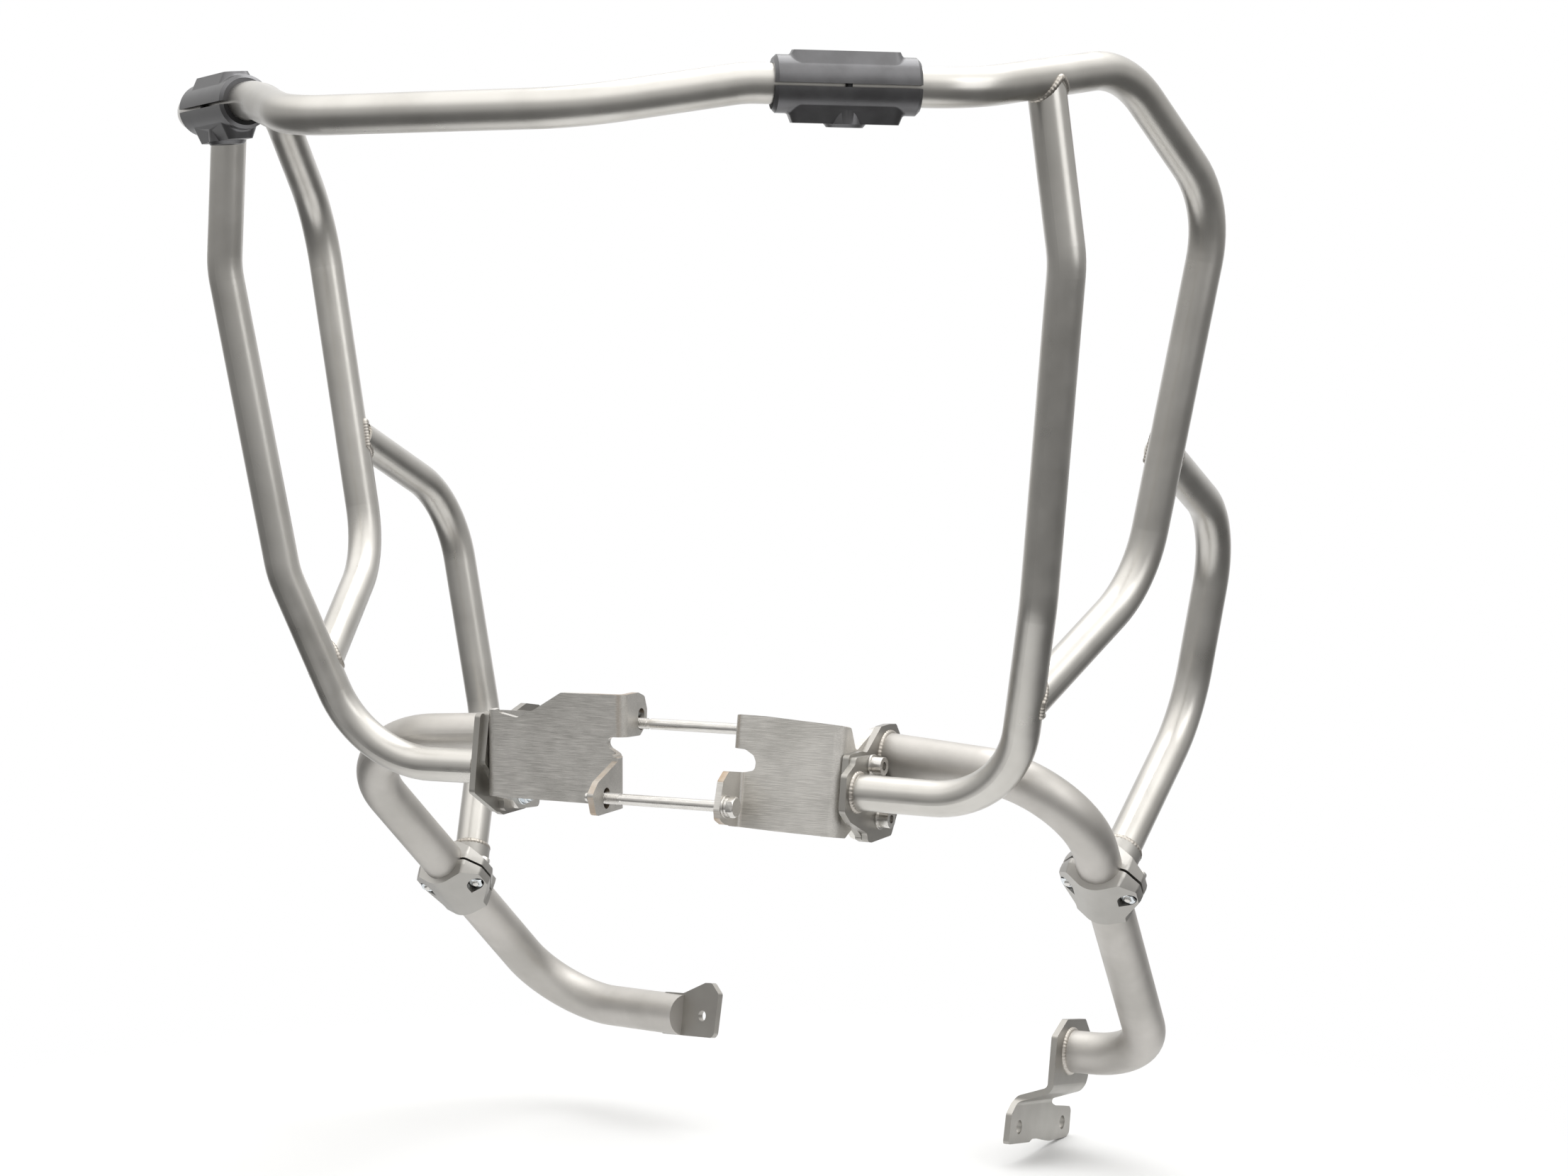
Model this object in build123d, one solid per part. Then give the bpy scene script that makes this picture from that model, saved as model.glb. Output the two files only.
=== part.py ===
"""Motorcycle crash bars: a welded and clamped guard of bent stainless tube.

Frame: millimetres, +Z up, -Y to the front of the motorcycle, +X to its left-hand viewer side.
The origin lies on the axis of the lower engine bolt, on the plane of symmetry x = 0.
"""
import math
import os

from build123d import *

os.makedirs("parts", exist_ok=True)

# Stock
TUBE_OD = 25.4
TUBE_WALL = 2.0
FOOT_TUBE_OD = 32.0
FOOT_TUBE_WALL = 2.0
SHEET = 4.76
PLATE_CORNER_R = 3.5
BEND_R = 75.0
BRACKET_TILT = 9.3
END_TRIM = 10.0

# Upper cage, right side; the left side is its mirror image
FRONT_REACH = 348.1
CROWN_HEIGHT = 501.0
CROSS_LOW = (105.8, -FRONT_REACH, 415.1)
CROSS_HIGH = (183.3, -280.7, 442.9)
SHOULDER = (298.8, -197.8, 454.2)
CROWN = (337.8, -47.9, CROWN_HEIGHT)
OUTER_TOP = (366.5, 65.4, 431.4)
OUTER_KNEE = (316.8, 98.3, 174.6)
OUTER_FOOT = (281.9, -2.2, 82.1)

# Upright that drops from the top tube to the engine flange, at a share of the run to the crown
UPRIGHT_SHARE = 0.474
UPRIGHT_BEND = (329.8, -99.9, 362.9)
UPRIGHT_KNEE = (299.8, -36.9, 147.0)
UPRIGHT_ELBOW = (261.4, 31.8, 15.2)
UPRIGHT_END = {1: (146.0, 32.0, 16.6), -1: (-159.4, 32.0, 16.6)}

# Rear stay from the outer tube down to the clamp on the lower tube
STAY_TOP = (330.1, 89.2, 265.0)
STAY_SHOULDER = (327.9, 224.3, 230.6)
STAY_KNEE = {1: (301.2, 250.4, 90.7), -1: (-297.5, 257.6, 52.5)}
STAY_END = {1: (291.9, 164.2, -9.1), -1: (-279.1, 219.9, -45.3)}

# Lower tube from the engine flange to the foot
LOWER_START = {1: (141.24, 88.2, 44.8), -1: (-154.64, 84.9, 43.8)}
LOWER_ELBOW = (300.6, 49.5, 32.4)
LOWER_HEEL = (258.4, 343.2, -165.1)
LOWER_ELBOW_R = 59.0
LOWER_HEEL_R = 55.0

# Couplings that join the cross tube to the side tubes
COUPLING_LENGTH = 92.0
COUPLING_START = 17.0
COUPLING_R = 18.0
COUPLING_CHAMFER = 2.2
COUPLING_ROLL = 11.0
COUPLING_SEAM = 2.2
PANEL_LENGTH = 67.0
PANEL_WIDTH = 17.0
PANEL_CORNER = 5.0
PANEL_TOP_TAPER = 26.6
PANEL_BOTTOM_TAPER = 22.0
PANEL_TOP = 21.0
PANEL_BOTTOM = 23.7
PANEL_ROOT = 6.0
PANEL_FILLET = 3.0
BOSS_D = 24.0
DISC_TOP_R = 13.2
DISC_R = 11.4
DISC_Z = 25.9
LINER_WALL = 3.0
BUTT_GAP = 1.0
PIN_D = 4.0
PIN_Y = 14.9
PIN_LENGTH = 9.0
SLEEVE_LENGTH = 60.0
SLEEVE_WALL = 3.0
SLEEVE_FIT = 0.1
JOINT_SCREW_D = 6.0
JOINT_SCREW_HEAD = 10.0
JOINT_SCREW_HEAD_H = 5.0
JOINT_SCREW_SEAT = 19.5
JOINT_SCREW_KEY = 5.0
HOLE_CLEARANCE = 0.4

# Clamps that tie the stays to the lower tubes
CLAMP_LENGTH = 46.0
CLAMP_R = FOOT_TUBE_OD / 2 + 4.5
CLAMP_REACH = 30.0
CLAMP_LUG_T = 7.5
CLAMP_CORNER = 4.0
CLAMP_RIM_Y = 5.0
CLAMP_DRAFT = 11.0
CLAMP_SPLIT = 2.0
CLAMP_BOLT_SPAN = 45.8
CLAMP_STATION = {1: 118.0, -1: 184.4}
CLAMP_TURN = {1: -7.7, -1: 5.4}
SADDLE_BOSS_R = 14.6

# Engine bolts and flange screws
LOWER_BOLT = (0.0, 0.0)
UPPER_BOLT = (41.5, 55.5)
BOLT_D = 8.0
BOLT_LENGTH = 115.0
HEX_AF = 13.0
HEX_HEAD = 5.3
NUT_HEIGHT = 8.0
WASHER_OD = 16.0
WASHER_T = 1.6
SPRING_OD = 13.6
SPRING_T = 2.1
FLANGE_SCREWS = ((51.0, 36.0), (69.0, 0.0))
SOCKET_HEAD_D = 13.0
SOCKET_HEAD_H = 8.0
SCREW_LENGTH = 25.0

# Plate stations along X
RIGHT_OUTER_X = 141.24
RIGHT_INNER_X = 136.48
RIGHT_BRACKET_X = 131.72
LEFT_OUTER_X = -159.40
LEFT_INNER_X = -154.64
LEFT_BRACKET_X = -149.88
RIGHT_LOWER_EAR_X = 55.3
RIGHT_UPPER_EAR_X = 50.2
LEFT_EAR_X = -39.4
RIGHT_FACE_Y = 21.5
LEFT_FACE_Y = 23.9
FOLD_R = 5.2

# Feet
LEFT_FOOT_TOE_IN = 19.0
LEFT_FOOT_SLOT = 126.0
LEFT_FOOT_TUBE_END = 150.0
LEFT_FOOT_END = 189.6
LEFT_FOOT_HOLE = (172.5, 1.5)
LEFT_FOOT_HOLE_D = 8.6
RIGHT_FOOT_FACE_X = 192.3
RIGHT_FOOT_LOWER_X = 165.07
RIGHT_FOOT_NECK_Y = 376.5
RIGHT_FOOT_TAIL = 42.5
RIGHT_FOOT_HOLES = ((316.5, -224.4), (RIGHT_FOOT_NECK_Y + RIGHT_FOOT_TAIL - 16.7, -224.4))
RIGHT_FOOT_HOLE_D = 10.5


def on_side(point, side):
    """Return the point, mirrored in x for the left side."""
    return Vector(point[0] * side, point[1], point[2])


def bent_path(points, radii):
    """Join straight lines through the points with tangent arcs at the inner ones."""
    edges = []
    start = points[0]
    for i in range(1, len(points) - 1):
        corner = points[i]
        into = (corner - points[i - 1]).normalized()
        out = (points[i + 1] - corner).normalized()
        turn = math.acos(max(-1.0, min(1.0, into.dot(out))))
        reach = radii[i - 1] * math.tan(turn / 2)
        first = corner - into * reach
        last = corner + out * reach
        inward = (out - into).normalized()
        centre = corner + inward * (radii[i - 1] / math.cos(turn / 2))
        middle = centre - inward * radii[i - 1]
        edges.append(Edge.make_line(start, first))
        edges.append(Edge.make_three_point_arc(first, middle, last))
        start = last
    edges.append(Edge.make_line(start, points[-1]))
    return Wire(edges)


def rod(points, radii, diameter):
    """Sweep a solid round bar along the bent path."""
    path = bent_path(points, radii)
    section = Plane(origin=path @ 0, z_dir=path % 0) * Circle(diameter / 2)
    return sweep(section, path=path)


def pipe(points, radii, diameter, wall):
    """Sweep a hollow round tube along the bent path."""
    path = bent_path(points, radii)
    section = Plane(origin=path @ 0, z_dir=path % 0) * (Circle(diameter / 2) - Circle(diameter / 2 - wall))
    return sweep(section, path=path)


def largest(shape):
    """Keep the largest solid of a shape."""
    return max(shape.solids(), key=lambda s: s.volume)


def bar_between(a, b, diameter):
    """A straight round bar between two points."""
    a = Vector(a)
    b = Vector(b)
    return extrude(Plane(origin=a, z_dir=b - a) * Circle(diameter / 2), amount=(b - a).length)


def x_bar(x0, x1, y, z, diameter):
    """A round bar parallel to X."""
    return bar_between((x0, y, z), (x1, y, z), diameter)


def z_bar(y, z0, z1, diameter):
    """A round bar parallel to Z, at x = 0."""
    return bar_between((0, y, z0), (0, y, z1), diameter)


def cut_all(shape, cutters):
    """Subtract each cutter in turn."""
    for cutter in cutters:
        shape = shape - cutter
    return shape


def rounded(outline, radius):
    """A closed outline whose corners are rounded as far as the sides beside them allow."""
    corners = [Vector(*place) for place in outline]
    radii = []
    for i, corner in enumerate(corners):
        before = corner - corners[i - 1]
        after = corners[(i + 1) % len(corners)] - corner
        turn = math.radians(before.get_angle(after))
        room = 0.45 * min(before.length, after.length)
        radii.append(min(radius, room / math.tan(turn / 2)))
    return make_face(FilletPolyline(*corners, radius=radii, close=True))


def prism(plane, outline, depth, radius=PLATE_CORNER_R):
    """Extrude a rounded outline from a plane along the normal of that plane."""
    return extrude(plane * rounded(outline, radius), amount=depth, dir=plane.z_dir)


def x_plate(x0, thickness, outline):
    """A flat plate standing square to X, from an outline of (y, z) points."""
    return prism(Plane.YZ.offset(x0), outline, thickness)


def y_plate(y0, thickness, outline):
    """A flat plate standing square to Y, from an outline of (x, z) points."""
    return prism(Plane.XZ.offset(-y0 - thickness), outline, thickness)


def x_slot(x, thickness, centre, width, height):
    """A cutter for an upright slot through a plate square to X."""
    plane = Plane(origin=(x - 1, centre[0], centre[1]), x_dir=(0, 1, 0), z_dir=(1, 0, 0))
    return extrude(plane * SlotOverall(height, width, rotation=90), amount=thickness + 2)


# Tubes
def coupling_axis(side):
    """Return the start point and direction of the run that carries the coupling."""
    start = on_side(CROSS_HIGH, side)
    run = on_side(SHOULDER, side) - start
    return start, run.normalized()


def joint_point(side, shift):
    """The butt joint hidden in the middle of a coupling."""
    start, run = coupling_axis(side)
    return start + run * (COUPLING_START + COUPLING_LENGTH / 2 + shift)


def coupling_plane():
    """Local frame of the right coupling: x along the tube, z up and rolled a little to the front."""
    start, run = coupling_axis(1)
    middle = start + run * (COUPLING_START + COUPLING_LENGTH / 2)
    up = (Vector(0, 0, 1) - run * run.Z).normalized()
    roll = math.radians(COUPLING_ROLL)
    return Plane(origin=middle, x_dir=run, z_dir=up * math.cos(roll) + run.cross(up) * math.sin(roll))


def joint_bore(side):
    """The upright hole for the joint screw, through the underside of both tube ends."""
    bore = coupling_plane() * z_bar(0, -TUBE_OD, -TUBE_OD / 4, JOINT_SCREW_D + HOLE_CLEARANCE)
    return bore if side > 0 else mirror(bore, about=Plane.YZ)


def make_cross_tube():
    points = [
        joint_point(-1, -BUTT_GAP / 2),
        on_side(CROSS_HIGH, -1),
        on_side(CROSS_LOW, -1),
        on_side(CROSS_LOW, 1),
        on_side(CROSS_HIGH, 1),
        joint_point(1, -BUTT_GAP / 2),
    ]
    tube = pipe(points, [BEND_R] * 4, TUBE_OD, TUBE_WALL)
    return cut_all(tube, [joint_bore(1), joint_bore(-1)])


def outer_points(side):
    return [
        joint_point(side, BUTT_GAP / 2),
        on_side(SHOULDER, side),
        on_side(CROWN, side),
        on_side(OUTER_TOP, side),
        on_side(OUTER_KNEE, side),
        on_side(OUTER_FOOT, side),
    ]


def upright_points(side):
    shoulder = on_side(SHOULDER, side)
    crown = on_side(CROWN, side)
    return [
        shoulder + (crown - shoulder) * UPRIGHT_SHARE,
        on_side(UPRIGHT_BEND, side),
        on_side(UPRIGHT_KNEE, side),
        on_side(UPRIGHT_ELBOW, side),
        Vector(*UPRIGHT_END[side]),
    ]


def flush_cut(tube, end, side):
    """Trim the inboard end of a tube square to X, flush with the plate that it is welded to."""
    return tube - Pos(end[0] - side * 20, end[1], end[2]) * Box(40, 80, 80)


def make_upright(side):
    """The upright, coped to the top tube and trimmed at its flange."""
    points = upright_points(side)
    points[-1] = points[-1] + (points[-1] - points[-2]).normalized() * END_TRIM
    tube = pipe(points, [BEND_R] * 3, TUBE_OD, TUBE_WALL)
    top = rod(outer_points(side)[:4], [BEND_R] * 2, TUBE_OD)
    return largest(flush_cut(tube, UPRIGHT_END[side], side) - top)


def make_outer_tube(side):
    """The outer guard tube, coped to the upright at its foot."""
    tube = pipe(outer_points(side), [BEND_R] * 4, TUBE_OD, TUBE_WALL)
    post = rod(upright_points(side)[1:], [BEND_R] * 2, TUBE_OD)
    return largest(tube - post - joint_bore(side))


def make_stay(side):
    """The rear stay, coped to the outer tube and square where it meets the clamp."""
    points = [
        on_side(STAY_TOP, side),
        on_side(STAY_SHOULDER, side),
        Vector(*STAY_KNEE[side]),
        Vector(*STAY_END[side]),
    ]
    tube = pipe(points, [BEND_R] * 2, TUBE_OD, TUBE_WALL)
    guard = rod(outer_points(side)[2:], [BEND_R] * 2, TUBE_OD)
    return largest(tube - guard)


def foot_direction(side):
    """Direction of the straight that ends the lower tube."""
    if side > 0:
        return Vector(-1, 0, 0)
    toe = math.radians(LEFT_FOOT_TOE_IN)
    return Vector(math.cos(toe), -math.sin(toe), 0)


def lower_points(side):
    start = Vector(*LOWER_START[side])
    elbow = on_side(LOWER_ELBOW, side)
    heel = on_side(LOWER_HEEL, side)
    length = heel.X - RIGHT_FOOT_FACE_X if side > 0 else LEFT_FOOT_TUBE_END
    into = (elbow - start).normalized()
    return [start - into * END_TRIM, elbow, heel, heel + foot_direction(side) * length]


def make_lower_tube(side):
    """The lower tube, cut flush with the flange it is welded to."""
    tube = pipe(lower_points(side), [LOWER_ELBOW_R, LOWER_HEEL_R], FOOT_TUBE_OD, FOOT_TUBE_WALL)
    tube = flush_cut(tube, LOWER_START[side], side)
    if side > 0:
        return largest(tube)
    heel = on_side(LOWER_HEEL, side)
    along = foot_direction(side)
    cap_start = heel + along * (LEFT_FOOT_TUBE_END - 2)
    cap = bar_between(cap_start, heel + along * LEFT_FOOT_TUBE_END, FOOT_TUBE_OD - FOOT_TUBE_WALL)
    slot_middle = heel + along * ((LEFT_FOOT_SLOT + LEFT_FOOT_TUBE_END + 10) / 2)
    slot_plane = Plane(origin=slot_middle, x_dir=along, z_dir=(0, 0, 1))
    slot = slot_plane * Box(LEFT_FOOT_TUBE_END + 10 - LEFT_FOOT_SLOT, SHEET, FOOT_TUBE_OD + 8)
    return (tube + cap) - slot


# Couplings
def raised_block(height, way, taper):
    """A block with a rounded plan that narrows towards its flat outer face."""
    rise = height - PANEL_ROOT
    spread = rise * math.tan(math.radians(taper))
    plan = RectangleRounded(PANEL_LENGTH + 2 * spread, PANEL_WIDTH + 2 * spread, PANEL_CORNER + spread)
    root = Plane(origin=(0, 0, way * PANEL_ROOT), x_dir=(1, 0, 0), z_dir=(0, 0, way))
    return extrude(root * plan, amount=rise, taper=taper)


def root_edges(body):
    """The edges where the raised blocks run into the round body."""
    reach = COUPLING_LENGTH / 2 - COUPLING_CHAMFER - 0.5
    picked = []
    for edge in body.edges():
        middle = edge @ 0.5
        on_round = abs(math.hypot(middle.Y, middle.Z) - COUPLING_R) < 0.05
        if on_round and abs(middle.X) < reach and abs(middle.Z) > PANEL_ROOT:
            picked.append(edge)
    return picked


def coupling_body():
    """The whole outside of a coupling before it is split."""
    half = COUPLING_LENGTH / 2
    body = extrude(Plane.YZ.offset(-half) * Circle(COUPLING_R), amount=COUPLING_LENGTH)
    body = chamfer(body.edges().filter_by(GeomType.CIRCLE), COUPLING_CHAMFER)
    body = body + raised_block(PANEL_TOP, 1, PANEL_TOP_TAPER)
    body = body + raised_block(PANEL_BOTTOM, -1, PANEL_BOTTOM_TAPER)
    body = fillet(root_edges(body), PANEL_FILLET)
    boss = z_bar(0, -PANEL_BOTTOM, -COUPLING_R / 2, BOSS_D)
    disc_t = DISC_Z - PANEL_BOTTOM
    disc = Pos(0, 0, -PANEL_BOTTOM - disc_t / 2) * Cone(DISC_R, DISC_TOP_R, disc_t)
    return body + boss + disc


def pin_bars():
    """The two upright pins that key the shells to each other."""
    return [z_bar(y, -PIN_LENGTH / 2, PIN_LENGTH / 2, PIN_D) for y in (-PIN_Y, PIN_Y)]


def make_coupling():
    """Upper shell, lower shell, liner, sleeve, pins and screw in the local frame."""
    body = coupling_body()
    half = COUPLING_LENGTH / 2
    gap = COUPLING_SEAM / 2
    above = Pos(0, 0, 2 * COUPLING_R + gap) * Box(2 * COUPLING_LENGTH, 4 * COUPLING_R, 4 * COUPLING_R)
    below = mirror(above, about=Plane.XY)
    tube = x_bar(-half - 1, half + 1, 0, 0, TUBE_OD)
    seat = x_bar(-half - 1, half + 1, 0, 0, TUBE_OD + 2 * LINER_WALL)
    hole = z_bar(0, -2 * DISC_Z, -TUBE_OD / 4, JOINT_SCREW_D + HOLE_CLEARANCE)
    pocket = z_bar(0, -2 * DISC_Z, -JOINT_SCREW_SEAT, JOINT_SCREW_HEAD + HOLE_CLEARANCE)
    upper = cut_all((body & above) - tube, pin_bars())
    lower = cut_all((body & below) - seat, pin_bars() + [hole, pocket])
    liner = x_bar(-half, half, 0, 0, TUBE_OD + 2 * LINER_WALL) - tube
    liner = cut_all(liner & below, pin_bars() + [hole])
    sleeve_r = TUBE_OD / 2 - TUBE_WALL - SLEEVE_FIT
    sleeve = x_bar(-SLEEVE_LENGTH / 2, SLEEVE_LENGTH / 2, 0, 0, 2 * sleeve_r)
    sleeve = sleeve - x_bar(-half, half, 0, 0, 2 * (sleeve_r - SLEEVE_WALL))
    sleeve = sleeve - z_bar(0, -TUBE_OD, 0, JOINT_SCREW_D)
    shank = z_bar(0, -JOINT_SCREW_SEAT, -sleeve_r + SLEEVE_WALL, JOINT_SCREW_D)
    head_z = -JOINT_SCREW_SEAT - JOINT_SCREW_HEAD_H
    head = z_bar(0, head_z, -JOINT_SCREW_SEAT, JOINT_SCREW_HEAD)
    key = Plane(origin=(0, 0, head_z)) * RegularPolygon(JOINT_SCREW_KEY / math.sqrt(3), 6)
    screw = (shank + head) - extrude(key, amount=JOINT_SCREW_HEAD_H / 2)
    return largest(upper), largest(lower), largest(liner), largest(sleeve), pin_bars(), screw


# Stay clamps
def clamp_plane(side):
    """Local frame of a clamp: x towards a lug, y to the front cap, z down the tube."""
    elbow = on_side(LOWER_ELBOW, side)
    along = (on_side(LOWER_HEEL, side) - elbow).normalized()
    level = (Vector(1, 0, 0) - along * along.X).normalized()
    rise = along.cross(level)
    if rise.Z < 0:
        rise = rise * -1
    turn = math.radians(CLAMP_TURN[side])
    lug = level * math.cos(turn) + rise * math.sin(turn)
    return Plane(origin=elbow + along * CLAMP_STATION[side], x_dir=lug, z_dir=along)


def clamp_outline(lower_end):
    """A half shell seen from the front, as (x, z) points."""
    half = CLAMP_LENGTH / 2
    right = [
        (CLAMP_R, lower_end), (CLAMP_R, half - 5), (CLAMP_REACH, 3),
        (CLAMP_REACH, -half + 12), (CLAMP_R, -half),
    ]
    return [(-x, z) for x, z in reversed(right)] + right


def clamp_half(sign):
    """One half shell with two lugs; sign +1 is the front cap, -1 the rear saddle."""
    half = CLAMP_LENGTH / 2
    edge = math.hypot(CLAMP_REACH, CLAMP_LUG_T)
    lean = math.atan2(CLAMP_LUG_T, CLAMP_REACH) + math.acos(CLAMP_R / edge)
    touch = (CLAMP_R * math.cos(lean), CLAMP_R * math.sin(lean))
    flank = [(CLAMP_REACH, 0), (CLAMP_REACH, CLAMP_LUG_T), touch]
    section = flank + [(-x, y) for x, y in reversed(flank)]
    wings = prism(Plane.XY.offset(-half), [(x, y * sign) for x, y in section], CLAMP_LENGTH, 1.0)
    hub = extrude(Plane.XY.offset(-half) * Circle(CLAMP_R), amount=CLAMP_LENGTH)
    shell = (wings + hub) & prism(Plane.XZ.offset(-60), clamp_outline(half), 120, CLAMP_CORNER)
    rim = Plane(origin=(0, sign * CLAMP_RIM_Y, 0), x_dir=(-sign, 0, 0), z_dir=(0, sign, 0))
    face = rim * rounded(clamp_outline(half + CLAMP_CORNER), CLAMP_CORNER)
    shell = shell & (extrude(face, amount=CLAMP_R, taper=CLAMP_DRAFT) + Box(100, 2 * CLAMP_RIM_Y, 100))
    shell = shell & Pos(0, sign * (30 + CLAMP_SPLIT / 2), 0) * Box(100, 60, 100)
    shell = shell - Cylinder(FOOT_TUBE_OD / 2, CLAMP_LENGTH + 2)
    for x in (-CLAMP_BOLT_SPAN / 2, CLAMP_BOLT_SPAN / 2):
        shell = shell - bar_between((x, -30, -3), (x, 30, -3), 6.0)
    return shell


def make_clamp_cap():
    """Front cap with a pocket round each nut."""
    cap = clamp_half(1)
    for s in (-1, 1):
        x = s * CLAMP_BOLT_SPAN / 2
        pocket = bar_between((x, 5.2, -3), (x, 30, -3), 12.2)
        corner = Pos(x - s * 3.05, 17.6, 0.05) * Box(6.1, 24.8, 6.1)
        cap = cap - pocket - corner
    return largest(cap)


def make_clamp_saddle(side):
    """Rear saddle with a boss for the stay and a spot face under each bolt head."""
    saddle = clamp_half(-1)
    for s in (-1, 1):
        x = s * CLAMP_BOLT_SPAN / 2
        saddle = saddle - bar_between((x, -30, -3), (x, -7.0, -3), 12.0)
    saddle = clamp_plane(side) * saddle
    end = Vector(*STAY_END[side])
    along = (end - Vector(*STAY_KNEE[side])).normalized()
    boss = bar_between(end, end + along * 18, 2 * SADDLE_BOSS_R)
    elbow = on_side(LOWER_ELBOW, side)
    heel = on_side(LOWER_HEEL, side)
    boss = boss - bar_between(elbow, heel, FOOT_TUBE_OD)
    return largest(saddle + boss)


def make_clamp_bolts():
    """Two M6 bolts, heads against the saddle."""
    bolts = []
    for x in (-CLAMP_BOLT_SPAN / 2, CLAMP_BOLT_SPAN / 2):
        shank = bar_between((x, -7.0, -3), (x, 11.6, -3), 6.0)
        head = bar_between((x, -13.0, -3), (x, -7.0, -3), 10.0)
        key = Plane(origin=(x, -13.0, -3), z_dir=(0, 1, 0)) * RegularPolygon(5.0 / math.sqrt(3), 6)
        bolts.append((shank + head) - extrude(key, amount=3.0))
    return bolts


def make_clamp_nuts():
    """Two M6 nuts in the pockets of the cap."""
    nuts = []
    for x in (-CLAMP_BOLT_SPAN / 2, CLAMP_BOLT_SPAN / 2):
        hexagon = Plane(origin=(x, 5.2, -3), z_dir=(0, 1, 0)) * RegularPolygon(10.0 / math.sqrt(3), 6)
        nuts.append(extrude(hexagon, amount=5.0) - bar_between((x, 0, -3), (x, 20, -3), 6.0))
    return nuts


# Flanges and brackets
def screw_holes(x0, x1):
    cutters = []
    for y, z in FLANGE_SCREWS:
        cutters.append(x_bar(x0, x1, y, z, BOLT_D))
    return cutters


def make_right_upright_flange():
    outline = [
        (25.2, 40.3), (24.0, 35.2), (12.3, 27.0), (13.2, 1.7), (23.1, -4.5), (51.3, -11.4),
        (53.6, -17.0), (59.3, -17.4), (91.0, -11.4), (98.5, 4.0), (98.5, 43.7), (56.0, 43.7),
    ]
    plate = x_plate(RIGHT_OUTER_X, SHEET, outline)
    plate = plate - x_bar(RIGHT_OUTER_X - 1, RIGHT_OUTER_X + SHEET + 1, 88.2, 44.8, 42.0)
    return largest(cut_all(plate, screw_holes(RIGHT_OUTER_X - 1, RIGHT_OUTER_X + SHEET + 1)))


def make_right_lower_flange():
    outline = [
        (23.3, 41.5), (44.1, 45.4), (51.2, 44.7), (72.0, 64.2), (85.1, 66.7), (96.6, 67.6),
        (103.5, 61.4), (110.0, 50.0), (110.0, 22.0), (98.5, 4.0), (91.0, -11.4), (59.3, -17.4),
        (52.2, -15.8), (51.8, -13.5), (35.0, -4.1), (22.0, 3.5),
    ]
    plate = x_plate(RIGHT_INNER_X, SHEET, outline)
    return cut_all(plate, screw_holes(RIGHT_INNER_X - 1, RIGHT_INNER_X + SHEET + 1))


def make_left_upright_flange():
    outline = [
        (16.6, 54.9), (16.8, -1.1), (17.4, -3.3), (49.8, -15.5), (54.1, -15.7), (59.3, -17.4),
        (91.0, -11.4), (98.5, 4.0), (98.5, 43.0), (62.0, 48.0), (48.0, 55.5),
    ]
    plate = x_plate(LEFT_OUTER_X, SHEET, outline)
    plate = plate - x_bar(LEFT_OUTER_X - 1, LEFT_OUTER_X + SHEET + 1, 84.9, 43.8, 42.0)
    return largest(cut_all(plate, screw_holes(LEFT_OUTER_X - 1, LEFT_OUTER_X + SHEET + 1)))


def make_left_lower_flange():
    outline = [
        (21.4, 57.1), (20.2, 18.9), (27.8, 14.3), (50.9, -6.7), (52.5, -13.4), (54.8, -14.5),
        (70.9, -12.2), (91.0, -10.0), (98.5, 4.0), (108.0, 22.0), (108.0, 50.0), (101.0, 62.0),
        (90.0, 66.0), (72.0, 66.0), (54.0, 57.6),
    ]
    plate = x_plate(LEFT_INNER_X, SHEET, outline)
    return cut_all(plate, screw_holes(LEFT_INNER_X - 1, LEFT_INNER_X + SHEET + 1))


def corner_sheet(points, radius, z0, z1):
    """Folded sheet: an upright strip that follows a plan path of (x, y) points."""
    path = FilletPolyline(*points, radius=radius)
    strip = offset(path, SHEET / 2, kind=Kind.INTERSECTION, side=Side.BOTH, closed=True)
    return Pos(0, 0, z0) * extrude(make_face(strip), amount=z1 - z0, dir=(0, 0, 1))


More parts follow.
